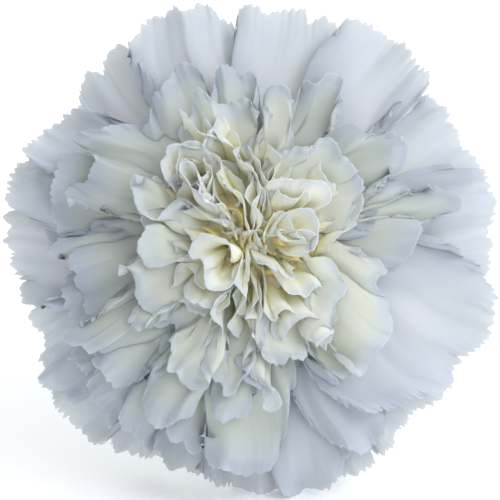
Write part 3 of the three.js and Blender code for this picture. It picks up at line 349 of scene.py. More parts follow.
def smooth_line(points, fine, count=None):
    """Even steps along a smooth line through points, and how far along it each is. Where no count is
    given, a step is as wide as a column of a petal's mesh."""
    p = np.array(points, dtype=float)
    p = np.vstack([2 * p[0] - p[1], p, 2 * p[-1] - p[-2]])
    t = np.linspace(0, 1, fine, endpoint=False)[:, None]
    runs = [0.5 * (2 * b + (c - a) * t + (2 * a - 5 * b + 4 * c - d) * t ** 2
                   + (3 * b - a - 3 * c + d) * t ** 3) for a, b, c, d in zip(p, p[1:], p[2:], p[3:])]
    line = np.vstack([*runs, p[-2:-1]])
    travel = travelled(line)
    even = np.linspace(0, travel[-1], count or max(FEWEST_COLUMNS, int(travel[-1] / COLUMN)) + 1)
    return np.stack([np.interp(even, travel, way) for way in line.T], axis=1), even


def teeth(travel, pick, deepest):
    """How far the rim is cut back at each place along it: uneven pointed teeth, about a mm wide."""
    cut = np.zeros_like(travel)
    start = -pick.uniform(0, 1)
    while start < travel[-1]:
        width = 0.55 + 1.5 * pick.random() ** 1.6
        depth = deepest * pick.uniform(0.25, 0.85) * (1.7 if pick.random() < 0.16 else 1.0)
        inside = (travel >= start) & (travel < start + width)
        t = (travel[inside] - start) / width
        slant = pick.uniform(0.75, 1.35)
        cut[inside] = depth * np.abs(2 * t ** slant - 1) ** pick.uniform(1.0, 1.7)
        start += width
    share = travel / travel[-1]
    return cut * ramp(np.minimum(share, 1 - share), 0, 0.07)


def waves(along, pick, lengths, heights):
    """Soft uneven waves along a rim."""
    total = np.zeros_like(along)
    for length, height in zip(lengths, heights):
        length *= pick.uniform(0.8, 1.25)
        drift = 0.9 * np.sin(along * 2 * math.pi / (length * 3.1) + pick.uniform(*PHASES))
        total += height * np.sin(along * 2 * math.pi / length + drift + pick.uniform(*PHASES))
    return total


def crumple(points, pick, size, height):
    """A gentle uneven swell over a blade, from a few plane waves."""
    total = np.zeros(points.shape[:-1])
    for _ in range(6):
        direction = pick.normal(size=3)
        direction /= np.linalg.norm(direction)
        length = size * pick.uniform(0.7, 1.6)
        total += np.sin(points @ direction * 2 * math.pi / length + pick.uniform(*PHASES))
    return height * total / 2.4


def square_to(grid):
    """The direction square to a grid of points at each point."""
    square = np.cross(np.gradient(grid, axis=1), np.gradient(grid, axis=0))
    return square / np.maximum(np.linalg.norm(square, axis=-1, keepdims=True), 1e-9)


def closed_blade(grid, half, *strand):
    """A grid of points made into a closed blade, with half its thickness to each side: its points, its
    four-sided faces, which of them belong to the soft faces and not to the edge, and its strand."""
    side = square_to(grid) * half
    rows, columns = grid.shape[:2]
    both = np.concatenate([(grid + side).reshape(-1, 3), (grid - side).reshape(-1, 3)])
    count = rows * columns
    at = np.arange(count).reshape(rows, columns)
    a, b, c, d = (q.ravel() for q in (at[:-1, :-1], at[:-1, 1:], at[1:, 1:], at[1:, :-1]))
    front = np.column_stack([a, b, c, d])
    back = np.column_stack([a, d, c, b]) + count
    edge = np.concatenate([at[0], at[1:, -1], at[-1, -2::-1], at[-2:0:-1, 0]])
    following = np.roll(edge, -1)
    wall = np.column_stack([following, edge, edge + count, following + count])
    faces = np.concatenate([front, back, wall])
    one = np.column_stack([np.broadcast_to(way, (rows, columns)).ravel() for way in strand])
    return both, faces, np.arange(len(faces)) < 2 * len(front), np.concatenate([one, one])


def gathered(blades):
    """Closed blades put together as one: their points, faces, soft marks and strands."""
    points, faces, soft, strands = zip(*blades)
    starts = np.cumsum([0] + [len(p) for p in points[:-1]])
    faces = [f + start for f, start in zip(faces, starts)]
    return [np.concatenate(group) for group in (points, faces, soft, strands)]


def cells(grid):
    """The cell of the field of heights that each point of a grid lies over."""
    at = np.clip(((grid[..., :2] + FIELD) / CELL).astype(int), 0, len(laid) - 1)
    return at[..., 0], at[..., 1]


def eased(values, passes):
    """Values over a grid, averaged with their neighbours."""
    for _ in range(passes):
        for axis in (0, 1):
            wide = np.pad(values, [(1, 1) if k == axis else (0, 0) for k in (0, 1)], mode="edge")
            low, high = (wide[:-2], wide[2:]) if axis == 0 else (wide[:, :-2], wide[:, 2:])
            values = (low + 2 * values + high) / 4
    return values


def laid_over(grid, clear):
    """A petal's grid, lifted clear of the petals that lie below it and then laid on the field itself."""
    free = ramp(ROWS, 0.34, 0.22)[:, None]
    across = np.abs(np.linspace(-1, 1, grid.shape[1]))[None, :]
    total = np.zeros(grid.shape[:2])
    for wanted in (clear, clear, 0.6 * clear, 0.4 * clear):
        room = wanted * (1 - 0.7 * across ** 4)
        lift = np.clip(laid[cells(grid)] + room - grid[..., 2] - total, 0, MOST_LIFT - total) * free
        for reach in (1, 2, 3, 4, 6):
            for move in (-reach, reach):
                lift = np.maximum(lift, 0.93 * np.roll(lift, move, axis=1))
        total += eased(lift, 8) * free
        total = np.minimum(total, MOST_LIFT)
    grid = grid + total[..., None] * np.array([0, 0, 1])
    fine = np.linspace(0, len(ROWS) - 1, 5 * len(ROWS))
    low = np.minimum(fine.astype(int), len(ROWS) - 2)
    between = (fine - low)[:, None, None]
    dense = grid[low] * (1 - between) + grid[low + 1] * between
    x, y = cells(dense)
    for dx, dy in ((0, 0), (1, 0), (-1, 0), (0, 1), (0, -1)):
        np.maximum.at(laid, (np.clip(x + dx, 0, len(laid) - 1), np.clip(y + dy, 0, len(laid) - 1)),
                      dense[..., 2])
    return grid


def bent(t, start, rising, coming, end):
    """Places at t along a line that leaves its start towards one point and comes to its end from another."""
    return ((1 - t) ** 3 * start + 3 * (1 - t) ** 2 * t * rising
            + 3 * (1 - t) * t ** 2 * coming + t ** 3 * end)


def fan(rim, foot, height, flare):
    """An outer petal's blade, one smooth fan, and which way its rim points. The rim is only the outline
    of it, so the rim's places nearer the axis lie where the fan's own bent line is at that distance."""
    own = np.linalg.norm(rim, axis=1)
    last, tilt = own.max(), math.radians(flare)
    pull = PULL * math.hypot(last - CLAW_RADIUS, height)
    ends = np.array([[CLAW_RADIUS, 0], [CLAW_RADIUS, pull],
                     [last - pull * math.sin(tilt), height - pull * math.cos(tilt)], [last, height]])
    t = np.linspace(0, 1, 200)
    radii, heights = bent(t[:, None], *ends).T
    radius = np.interp(ROWS[:, None] * np.interp(own, radii, t)[None, :], t, radii)
    share = ((radius - CLAW_RADIUS) / (own - CLAW_RADIUS)[None, :])[..., None]
    grid = np.concatenate([foot + (rim - foot) * share, np.interp(radius, radii, heights)[..., None]],
                          axis=-1)
    arrive = grid[-1] - grid[-4]
    return grid, arrive / np.linalg.norm(arrive, axis=1, keepdims=True)


def upright(rim, foot, height, flare, onward, outer):
    """The blade of a petal that stands up round the heart or in it, and which way its rim points."""
    start = np.column_stack([foot, np.zeros(len(rim))])
    tilt = math.radians(flare + (0 if outer else 6))
    away = np.linalg.norm(rim - np.array(HEART_LEAN) * 0.7, axis=1)
    fall = 0 if outer else HEART_FALL * (away - away.mean())
    end = np.column_stack([rim, np.full(len(rim), height) - fall])
    pull = PULL * np.linalg.norm(end - start, axis=1, keepdims=True)
    outward = np.column_stack([rim - foot + onward, np.zeros(len(rim))])
    outward /= np.maximum(np.linalg.norm(outward, axis=1, keepdims=True), 1e-6)
    arrive = outward * math.sin(tilt)
    arrive[:, 2] = math.cos(tilt)
    return bent(ROWS[:, None, None], start, start + pull * np.array([0, 0, 1]), end - pull * arrive,
                end), arrive


def with_shoulders(rim):
    """A rim's points with a shoulder added at each end, where the blade goes down under the next ones."""
    middle = rim.mean(axis=0)
    heading = middle / np.linalg.norm(middle)
    side = left_of(heading)
    wide = np.clip((SHOULDERS_TO - np.ptp(rim @ side)) / 2, 0.8, 4.2)
    ends = []
    for end, before in ((rim[0], rim[1]), (rim[-1], rim[-2])):
        onward = (end - before) / np.linalg.norm(end - before)
        aside = side * np.sign((end - middle) @ side)
        ends.append(end + wide * (0.8 * onward + 0.7 * aside - 0.3 * heading))
    return np.vstack([ends[0], rim, ends[1]])


def petal(number, height, flare, points, stacked):
    """One closed blade, whose strand is the way along the rim in mm, the share of the way up, and the
    petal's own number."""
    pick = np.random.default_rng(400 + number)
    points = np.reshape(points, (-1, 2))
    middle = points.mean(axis=0)
    reach = np.linalg.norm(middle)
    heading = middle / max(reach, 1e-6)
    outer = reach > HEART_RADIUS
    manner = GUARD if height < GUARD_HEIGHT else OUTER if outer else HEART
    rim, along = smooth_line(with_shoulders(points) if reach > SHOULDERED else points, RIM_STEPS)
    foot = (rim - middle) * CLAW_WIDTH + middle * min(1, CLAW_RADIUS / reach)
    if height < FAN_HEIGHT:
        grid, arrive = fan(rim, foot, height, flare)
    else:
        onward = heading * np.clip(WHOLE_RIM - along[-1], 0, 3)
        grid, arrive = upright(rim, foot, height, flare, onward, outer)

    # The blade leans with the heart, is fuller half way up, and sways a little from side to side.
    lean = 3 * (1 - ROWS) ** 2 * ROWS * height / HEART_HEIGHT
    grid[..., :2] += lean[:, None, None] * np.array(HEART_LEAN)
    from_middle = grid[..., :2] - (grid[..., :2] @ heading)[..., None] * heading
    v = ROWS[:, None]
    fullness = FULLNESS * 4 * v * (1 - v) * (1.4 - 0.8 * v)
    sway = waves(ROWS * 30, pick, (19, 9), (1.0, 0.55))[:, None] * 4 * v * (1 - v) * manner["sway"]
    grid[..., :2] += from_middle * fullness[..., None] + sway[..., None] * left_of(heading)

    # Folds run up it, its rim is ruffled and curled, its sides arch down and its rim rolls back.
    square = square_to(grid)
    folds = waves(along, pick, FOLD_LENGTHS, manner["folds"]) * manner["folded"]
    ruffle = waves(along, pick, RUFFLE_LENGTHS, manner["ruffle"])
    swell = crumple(grid, pick, *manner["swell"])
    across = np.abs(np.linspace(-1, 1, len(rim)))[None, :]
    near_rim = ramp(v, 0.66, 0.34) ** 2
    curl = waves(along, pick, (11.5,), (1.15,)) * near_rim
    arch = ARCH * across ** 2.5 * np.sin(math.pi * np.minimum(v * 1.15, 1) * 0.85) * manner["arch"]
    roll = pick.uniform(1.4, 2.8) * near_rim * manner["roll"]
    bow = folds * v ** 1.6 + ruffle * v ** manner["ruffle_rise"] + swell * v ** 1.3 + curl
    grid = grid + square * bow[..., None]
    grid[..., 2] -= roll + arch
    if not outer:
        # The ends of a heart petal's rim dip down between its neighbours.
        dip = min(MOST_DIP, DIP_SHARE * along[-1]) * across ** 4 * ramp(v, 0.55, 0.45) ** 1.5
        grid = grid - arrive * dip[..., None]

    # The rim is cut back into teeth.
    notch = HEART_NOTCH if not outer else DEEP_NOTCH if height < NOTCHED_HEIGHT else NOTCH
    cut = teeth(along, pick, notch)
    cut += np.maximum(waves(along, pick, RIM_LENGTHS, manner["rim"]), 0)
    grid = grid - arrive * cut[:, None] * ramp(ROWS, 0.9, 0.1)[:, None, None] ** 1.3
    if stacked:
        grid = laid_over(grid, CLEAR if not GUARD_HEIGHT <= height <= FAN_HEIGHT else 2 * CLEAR)

    # It is thickest at its foot, and thins out again at its rim.
    half = BLADE / 2 * ((1.35 - 0.6 * ROWS) * (1 - 0.7 * ramp(ROWS, 0.85, 0.15) ** 2))[:, None, None]
    return closed_blade(grid, half, along[None, :], v, number)


CLAW_GREEN = "D6DBC0"  # the tint of every petal's foot


def petal_tissue(name, rim, body, throat, body_from, rim_from):
    """Fresh carnation petal: thin wet tissue with a velvety skin. Light goes through it and comes out
    soft, and fine veins run up it like the pleats of a fan. Its colour goes from the throat's to the
    body's and the rim's, from the shares of the way up given. On the petals the rim's colour is a
    darker blue-grey than the body's: painted shade where the rims roll back from the light and the
    dark behind shows through them."""
    made, tree, shader = material(name, {
        "Roughness": 0.62, "IOR": 1.4, "Sheen Weight": 0.12, "Sheen Roughness": 0.5,
        "Subsurface Weight": 0.5, "Subsurface Radius": (1.0, 0.93, 0.72), "Subsurface Scale": 0.001})
    strand = node(tree, "Attribute", {"attribute_name": "strand"})
    parts = node(tree, "SeparateXYZ", {}, {0: strand.outputs["Vector"]})
    along, share, number = (parts.outputs[k] for k in range(3))
    up, foot, out = (
        node(tree, "MapRange", {"interpolation_type": "SMOOTHSTEP", 1: start, 2: end}, {0: share}).outputs[0]
        for start, end in ((body_from, body_from + 0.4), (0.16, 0.42), (rim_from, 1.0)))
    lower = node(tree, "Mix", {"data_type": "RGBA", 6: linear(throat), 7: linear(body)}, {0: up})
    based = node(tree, "Mix", {"data_type": "RGBA", 6: linear(CLAW_GREEN)}, {0: foot, 7: lower.outputs[2]})
    # The petals' darker blue-grey rim band is painted shade, not the petal's own colour.
    full = node(tree, "Mix", {"data_type": "RGBA", 7: linear(rim)}, {0: out, 6: based.outputs[2]})
    # The veins lie about 0.6 mm apart and run nearly straight up the blade.
    vein_place = node(tree, "CombineXYZ", {}, {0: along, 1: share, 2: number})
    vein_scale = node(tree, "VectorMath", {"operation": "MULTIPLY", 1: (1.6, 3.0, 7.0)},
                      {0: vein_place.outputs[0]})
    veins = node(tree, "TexNoise", {"Scale": 1.0, "Detail": 4.0, "Roughness": 0.6},
                 {"Vector": vein_scale.outputs[0]})
    faint = node(tree, "MapRange", {1: 0.35, 2: 0.75, 3: 1.0, 4: 0.975}, {0: veins.outputs["Fac"]})
    toned = node(tree, "VectorMath", {"operation": "SCALE"}, {0: full.outputs[2], 3: faint.outputs[0]})
    tree.links.new(toned.outputs[0], shader.inputs["Base Color"])
    relief = node(tree, "Bump", {"Strength": 0.05, "Distance": 0.0001}, {"Height": veins.outputs["Fac"]})
    tree.links.new(relief.outputs[0], shader.inputs["Normal"])
    return made


# The guard, outer and middle tissues are greyer and bluer than a fresh white petal: painted shade of the
# outer rings. The heart's cream is its own, but its tissues are paler than the rest: painted light in the
# deep heart, where real shade falls.
guard_tissue_shaded = petal_tissue("guard_petal_tissue_shaded", "B8C0CA", "C6CBD2", "C9C9B0", 0.1, 0.74)
outer_tissue_shaded = petal_tissue("outer_petal_tissue_shaded", "B2BBC4", "C2C7BF", "D8D196", 0.22, 0.8)
middle_tissue_shaded = petal_tissue("middle_petal_tissue_shaded", "BFC8CE", "D5D8C8", "EDDB82", 0.34, 0.84)
heart_tissue_brightened = petal_tissue("heart_petal_tissue_brightened", "CED5D8", "F0F0DC", "F7DF70", 0.54, 0.9)
inmost_tissue_brightened = petal_tissue("inmost_petal_tissue_brightened", "D8DCD6", "F2F0D6", "F7DD6A", 0.58, 0.93)

# The rows of petals, outside in: the name of each, its first petal, and its tissue.
ROWS_OF_PETALS = [
    ("guard_petals", "guard_sw", guard_tissue_shaded),
    ("under_petals", "under_second_ring", outer_tissue_shaded),
    ("outer_petals", "left_fill_low", outer_tissue_shaded),
    ("frill_petals", "frill", middle_tissue_shaded),
    ("middle_petals", "se_inner_lip", middle_tissue_shaded),
    ("heart_petals", "east_curl", heart_tissue_brightened),
    ("nested_petals", "nested", inmost_tissue_brightened),
    ("inmost_petals", "filler", inmost_tissue_brightened),
]
LAID_OVER = ("guard_petals", "under_petals", "outer_petals", "middle_petals")

# Petals that fill the bloom below the ones that show stand on a spiral, by the golden angle.
GOLDEN = math.radians(137.508)
chance = np.random.default_rng(77)


def first_of(name):
    """The place of the first petal with a name."""
    return [petal_name for petal_name, *_ in PETALS].index(name)


def outward_at(angle):
    """The direction at an angle across the face."""
    return np.array([math.cos(angle), math.sin(angle)])


def spiral_row(name, count, reach, wander, waver, droop, half_width, steps, height, spread, flare):
    """A row of broad petals on the spiral. They reach about as far out as given, with rims that waver
    and droop back at the ends."""
    row = []
    for k in range(count):
        out = outward_at(k * GOLDEN)
        far = reach + (chance.uniform(*wander) if wander else 0)
        rim = [out * (far + chance.uniform(-waver, waver) - droop * t * t) + left_of(out) * half_width * t
               for t in np.linspace(-1, 1, steps)]
        row.append((name, height + chance.uniform(*spread), flare, rim))
    return row


second_ring = first_of("left_fill_low")
PETALS[second_ring:second_ring] = spiral_row("under_second_ring", 13, 19.5, None, 1, 2.2, 7.5, 5,
                                             8.6, (-0.6, 0.6), 80)
middle_ring = first_of("se_inner_lip")
PETALS[middle_ring:middle_ring] = spiral_row("frill", 17, 16.8, (-1.2, 1.6), 0.7, 2.4, 5.4, 7,
                                             12.4, (0, 1.6), 70)

# Behind each petal of the heart that shows, but for those at its very middle, stands one like it,
# further in.
HEART_MIDDLE = np.array([0.6, 3.0])
VERY_MIDDLE = 8
for _, height, flare, rim in PETALS[first_of("se_inner_lip"):]:
    share = chance.uniform(0.76, 0.84)
    drift = chance.uniform(*PHASES)
    rim = np.reshape(rim, (-1, 2))
    if np.linalg.norm(rim.mean(axis=0)) < VERY_MIDDLE:
        continue
    rim = [HEART_MIDDLE + (place - HEART_MIDDLE) * share * (1 + 0.06 * math.sin(k * 1.9 + drift))
           for k, place in enumerate(rim)]
    PETALS.append(("nested", min(height + 3.5 * (1 - share), 23) - 0.7, flare + 4, rim))

# The inmost are crumpled ones on the same spiral, of which every other one is folded on edge.
FILLERS = 18
for k in range(FILLERS):
    share = (k + 0.5) / FILLERS
    angle = k * GOLDEN
    centre = np.array([0.6, 2.0]) * (1 - 0.7 * share) + (0.8 + 12 * share ** 0.8) * outward_at(angle)
    on_edge = k % 2 > 0
    out = outward_at(angle + (math.pi / 2 if on_edge else 0) + chance.uniform(-0.5, 0.5))
    width = (2.6 + 3.0 * share ** 0.5) * chance.uniform(0.75, 1.2)
    bend = chance.uniform(-1.6, 1.6) if on_edge else 2.0
    drift = chance.uniform(*PHASES)
    rim = [centre + left_of(out) * t * width
           - out * (bend * t * t + 0.55 * math.sin(t * width * 1.7 + drift)) for t in np.linspace(-1, 1, 9)]
    PETALS.append(("filler", 20.2 - 4.6 * share + chance.uniform(-0.8, 0.8), 40 + 16 * share, rim))

SOFT_REST = 0.0004  # in metres: what would go below this is pressed flat against the surface


def piece(name, points, faces, soft, strand, finish, replaced, slot):
    """A piece of the flower, from points in its own frame. Soft faces are shaded smooth. The strand
    layer says where on the real thing each point lies, for its finish."""
    placed = points @ np.array(FLOWER.to_3x3()).T + np.array(FLOWER.translation)
    pressed = SOFT_REST * np.exp(np.minimum(placed[:, 2] - SOFT_REST, 0) / SOFT_REST)
    placed[:, 2] = np.where(placed[:, 2] < SOFT_REST, pressed, placed[:, 2])
    mesh = bpy.data.meshes.new(name)
    mesh.from_pydata(placed.tolist(), [], faces.tolist())
    mesh.polygons.foreach_set("use_smooth", np.full(len(faces), soft))
    mesh.validate()
    mesh.materials.append(finish)
    made = bpy.data.objects.new(name, mesh)
    bpy.context.scene.collection.objects.link(made)
    layer = mesh.attributes.new("strand", "FLOAT_VECTOR", "POINT")
    layer.data.foreach_set("vector", np.asarray(strand, dtype=np.float32).ravel())
    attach(made, "root")
    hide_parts(replaced)


firsts = [first_of(first) for _, first, _ in ROWS_OF_PETALS] + [len(PETALS)]
for (row_name, _, tissue), first, last in zip(ROWS_OF_PETALS, firsts, firsts[1:]):
    blades = [petal(number, *PETALS[number][1:], row_name in LAID_OVER) for number in range(first, last)]
    piece(row_name, *gathered(blades), tissue, "bloom", "petals")

# ---------- Bloom: the claws
# The lower ends of all the petals are narrow claws, bundled tight in the calyx. Above the mouth the
# bundle opens into folds at the heart, which show cream between the innermost petals.
CLAW_PROFILE = [(0, -24), (3.4, -24), (4.7, -19), (5.5, -6), (5.9, 3.5), (6.1, 4.7), (8.4, 7.8),
                (10.4, 11), (10.2, 14.3), (8.2, 16.9), (4.6, 18.6), (0, 19.3)]  # radius and height
STRAIGHT_TO = 4.4  # the height up to which the bundle stands straight
FOLDED_FROM = 11  # and from which its top is folded
FOLD_HEIGHT = 2.0


def closed_tube(rings, wrap=False, tips=None):
    """Points and triangles of a tube through rings of points. Its ends close on two tips, which are the
    middles of the first and last ring unless given, or are joined to each other where wrap is true."""
    rings = np.array(rings)
    count, around = rings.shape[:2]
    at = np.arange(count * around).reshape(count, around)
    if wrap:
        at = np.vstack([at, at[:1]])
    turn = np.roll(at, -1, axis=1)
    low, high, low_turn, high_turn = at[:-1], at[1:], turn[:-1], turn[1:]
    faces = [np.stack([low, low_turn, high_turn], axis=-1), np.stack([low, high_turn, high], axis=-1)]
    points = rings.reshape(-1, 3)
    if not wrap:
        foot, top = np.full(around, len(points)), np.full(around, len(points) + 1)
        faces += [np.stack([turn[0], at[0], foot], axis=-1), np.stack([at[-1], turn[-1], top], axis=-1)]
        tips = [rings[0].mean(axis=0), rings[-1].mean(axis=0)] if tips is None else tips
        points = np.concatenate([points, tips])
    return points, np.concatenate([f.reshape(-1, 3) for f in faces])


line = np.array(CLAW_PROFILE, dtype=float)
travel = travelled(line)
mouth = travel[5]
even = np.concatenate([np.linspace(0, mouth, 30, endpoint=False), np.linspace(mouth, travel[-1], 80)])
radius, level = np.interp(even, travel, line[:, 0]), np.interp(even, travel, line[:, 1])
lean = ramp(level, STRAIGHT_TO, HEART_HEIGHT - STRAIGHT_TO)
bottom, top = level[0], lean[-1]
radius, level, lean = radius[1:-1, None], level[1:-1, None], lean[1:-1, None]
angle = np.linspace(0, 2 * math.pi, 220, endpoint=False)
pleat = 0.35 * np.sin(angle * 17 + 1.3 * np.sin(angle * 3)) + 0.2 * np.sin(angle * 41)
ring_radius = radius + pleat[None, :] * np.clip(radius / 5, 0, 1)
x = ring_radius * np.cos(angle) + HEART_LEAN[0] * lean
y = ring_radius * np.sin(angle) + HEART_LEAN[1] * lean
along = 1.05 * x + 0.5 * y + 2.1 * np.sin(0.42 * x - 0.3 * y + 0.7) + 1.7 * np.sin(0.5 * y + 0.25 * x)
folds = 1 - np.abs(np.sin(along + 0.9 * np.sin(0.9 * y + 1)))
folded = ramp(level, FOLDED_FROM, 4)
z = level + FOLD_HEIGHT * (folds ** 1.5 - 0.5) * folded
tips = [(0, 0, bottom), (HEART_LEAN[0] * top, HEART_LEAN[1] * top, z[-1].mean())]
points, faces = closed_tube(np.stack([x, y, z], axis=-1), tips=tips)
strand = np.column_stack([np.arctan2(points[:, 1], points[:, 0]) * 6,
                          np.concatenate([(folds * folded).ravel(), [0, 0.5]]), np.full(len(points), 3)])
claw_tissue = petal_tissue("claw_tissue", "F2E8B6", "F0E09A", "E6CE88", 0.1, 0.7)
piece("petal_claws", points, faces, True, strand, claw_tissue, "bloom", "petals")

# ---------- Calyx
# The bloom's green cup is five sepals grown together into a smooth firm tube. It ends in five pointed
# teeth, and fine ribs run up it, with a thin waxy bloom over the green.
CALYX_DEPTH = 27  # from the mouth to the foot
CALYX_MOUTH = 7.1  # outer radius at the mouth
CALYX_FOOT = 4.6  # and at the foot
CALYX_WALL = 0.9
CALYX_TOOTH = 4.4  # height of its five teeth
TOOTH_SPREAD = 0.45  # how far their points lean out
ROUNDED = 0.035  # share of the way up over which the foot is rounded


def calyx_radius(z):
    """The calyx's outer radius at a height: a barrel that narrows to its foot."""
    return CALYX_MOUTH - (CALYX_MOUTH - CALYX_FOOT) * np.clip(-z / CALYX_DEPTH, 0, 1) ** 2.6


def ring(radius, angle, height, aside=0):
    """A ring of points round the flower's axis, or a little aside from it."""
    return np.column_stack([radius * np.cos(angle) + aside, radius * np.sin(angle), height + 0 * angle])


def round_strand(points, radius, to_tip, aside=0):
    """The strand of a round piece: the way round it and up it in mm, and the share of the way to its tip."""
    around = np.arctan2(points[:, 1], points[:, 0] - aside) * radius
    return np.column_stack([around, points[:, 2], to_tip])


def green_tissue(name, pale, deep, rib_pitch, wax, tip, tip_from):
    """Green plant skin: pale and deep green in fine ribs along it, a pitch in mm apart, with a thin
    dull wax over them, and drier towards its tip. The strand layer gives the way across and along in
    mm, and the share of the way to the tip."""
    made, tree, shader = material(name, {
        "Roughness": 0.5, "IOR": 1.42, "Subsurface Weight": 0.15,
        "Subsurface Radius": (0.6, 1.0, 0.3), "Subsurface Scale": 0.0012})
    strand = node(tree, "Attribute", {"attribute_name": "strand"})
    parts = node(tree, "SeparateXYZ", {}, {0: strand.outputs["Vector"]})
    place = node(tree, "CombineXYZ", {}, {0: parts.outputs[0], 1: parts.outputs[1]})
    rib_scale = node(tree, "VectorMath", {"operation": "MULTIPLY", 1: (1 / rib_pitch, 0.05, 1)},
                     {0: place.outputs[0]})
    ribs = node(tree, "TexNoise", {"Scale": 1.0, "Detail": 2.0}, {"Vector": rib_scale.outputs[0]})
    cloud = node(tree, "TexNoise", {"Scale": 0.35, "Detail": 4.0}, {"Vector": place.outputs[0]})
    rib_share = node(tree, "MapRange", {1: 0.35, 2: 0.65}, {0: ribs.outputs["Fac"]})
    greens = node(tree, "Mix", {"data_type": "RGBA", 6: linear(deep), 7: linear(pale)},
                  {0: rib_share.outputs[0]})
    wax_share = node(tree, "MapRange", {1: 0.3, 2: 0.75, 3: 0.15, 4: 0.6}, {0: cloud.outputs["Fac"]})
    waxed = node(tree, "Mix", {"data_type": "RGBA", 7: linear(wax)},
                 {0: wax_share.outputs[0], 6: greens.outputs[2]})
    dry = node(tree, "MapRange", {1: tip_from, 2: tip_from + 0.25}, {0: parts.outputs[2]})
    tipped = node(tree, "Mix", {"data_type": "RGBA", 7: linear(tip)},
                  {0: dry.outputs[0], 6: waxed.outputs[2]})
    tree.links.new(tipped.outputs[2], shader.inputs["Base Color"])
    relief = node(tree, "Bump", {"Strength": 0.4, "Distance": 0.0001}, {"Height": ribs.outputs["Fac"]})
    tree.links.new(relief.outputs[0], shader.inputs["Normal"])
    return made


angle = np.linspace(0, 2 * math.pi, 240, endpoint=False)
rim_height = CALYX_TOOTH * (1 - (np.abs(angle * 5 / (2 * math.pi) % 1 - 0.5) * 2) ** 0.85)
rib = 0.10 * np.cos(angle * 25) + 0.16 * np.cos(angle * 5)
rings = []
for t in np.concatenate([[0.0, 0.004, 0.015], np.linspace(ROUNDED, 1, 56)]):
    z = -CALYX_DEPTH + t * (CALYX_DEPTH + rim_height)
    rounding = np.clip(1 - (1 - t / ROUNDED) ** 2, 0, 1) ** 0.5 if t < ROUNDED else 1
    spread = TOOTH_SPREAD * np.clip(z / CALYX_TOOTH, 0, 1) ** 1.5
    r = (calyx_radius(z) + rib * np.clip(t * 3, 0, 1) + spread) * (0.62 + 0.38 * rounding)
    rings.append(ring(r, angle, z))
for t in np.linspace(1, 0.05, 30):
    z = -CALYX_DEPTH + t * (CALYX_DEPTH + rim_height)
    thin = CALYX_WALL * (1 - 0.65 * ramp(t, 0.8, 0.2))
    r = calyx_radius(z) + TOOTH_SPREAD * np.clip(z / CALYX_TOOTH, 0, 1) ** 1.5 - thin
    rings.append(ring(r, angle, z))
points, faces = closed_tube(rings)
strand = round_strand(points, CALYX_MOUTH, np.clip(points[:, 2] / CALYX_TOOTH, 0, 1))
calyx_skin = green_tissue("calyx_skin", "A9BC84", "869C60", 0.9, "B4C4A0", "D8DDB8", 0.55)
piece("calyx_tube", points, faces, True, strand, calyx_skin, "calyx", "calyx")

# ---------- Bracts
# Round the calyx's foot sit two pairs of short broad scales, pressed against it. They overlap at the
# sides, and each ends in a small dry point.
BRACT_LENGTH = 10.5
BRACT_NECK = 2.4  # the height over which they widen from the stem to the calyx
BRACT_FOOT = -CALYX_DEPTH - BRACT_NECK
BRACT_HALF = 0.22  # half their thickness
STEM_RADIUS = 2.3
GAP = 0.35  # clearance between one part and the next
across = np.linspace(-1, 1, 41)[None, :]
upward = np.linspace(0, 1, 40)[:, None]
scales = []
for k in range(4):
    outer_pair = k % 2
    length = BRACT_LENGTH * (0.86 if outer_pair else 1.0)
    half_width = 1.02 * (1 - upward ** 3.2) ** 0.8 * (1 - 0.12 * upward)
    half_width = half_width * (1 - ramp(upward, 0.86, 0.14)) + 0.05
    turned = k * math.pi / 2 + half_width * across
    z = BRACT_FOOT + length * upward + 0 * across
    hug = np.where(z > -CALYX_DEPTH, calyx_radius(z), 0)
    neck = STEM_RADIUS + (CALYX_FOOT - STEM_RADIUS) * ramp(z, BRACT_FOOT, BRACT_NECK) ** 0.6
    r = np.maximum(hug, neck) + GAP + (0.62 if outer_pair else 0.24) + 0.5 * upward ** 6
    grid = np.stack([r * np.cos(turned), r * np.sin(turned), z], axis=-1)
    half = BRACT_HALF * (1.1 - 0.7 * upward[..., None])
    scales.append(closed_blade(grid, half, turned * CALYX_FOOT, z, upward))
bract_skin = green_tissue("bract_skin", "9DB079", "7C9159", 0.7, "A9BA95", "C9B98A", 0.8)
piece("bract_scales", *gathered(scales), bract_skin, "calyx_bracts", "bracts")

# ---------- Stem
# A firm round stem, blue-green under a dull wax, swollen at the joint where its leaves grow. It was cut
# square with a sharp blade, which left pale wet pith showing.
STEM_END = 83.2  # the cut end, measured down the axis from the calyx's mouth
KNOT = 58  # the joint, measured the same way
KNOT_RADIUS = 3.1
CUT_SHARES = (0.35, 0.75, 0.97)  # rings on the cut end, as shares of the stem's radius


def stem_bow(z):
    """How far aside from the axis the stem bows at a height."""
    return 1.1 * np.sin(math.pi * (-z - CALYX_DEPTH) / (STEM_END - CALYX_DEPTH))


angle = np.linspace(0, 2 * math.pi, 64, endpoint=False)
levels = np.linspace(-STEM_END, -CALYX_DEPTH - GAP - 0.2, 150)
rings = []
for share, z in zip([*CUT_SHARES, *[1] * len(levels)], [*[levels[0]] * len(CUT_SHARES), *levels]):
    swelling = (KNOT_RADIUS - STEM_RADIUS) * math.exp(-(((z + KNOT) / 2.2) ** 2))
    groove = 0.12 * math.exp(-(((z + KNOT + 1.9) / 0.35) ** 2))
    r = STEM_RADIUS + swelling - groove + 0.03 * np.cos(angle * 9)
    rings.append(ring(r * share, angle, z, stem_bow(z)))
points, faces = closed_tube(rings)
strand = round_strand(points, STEM_RADIUS, np.clip(-points[:, 2] - STEM_END + 1, 0, 1),
                      stem_bow(points[:, 2]))
stem_skin = green_tissue("stem_skin", "8BA683", "6F8E69", 0.5, "A3B7A2", "D6DDB4", 0.985)
piece("cut_stem", points, faces, True, strand, stem_skin, "stem", "stem")

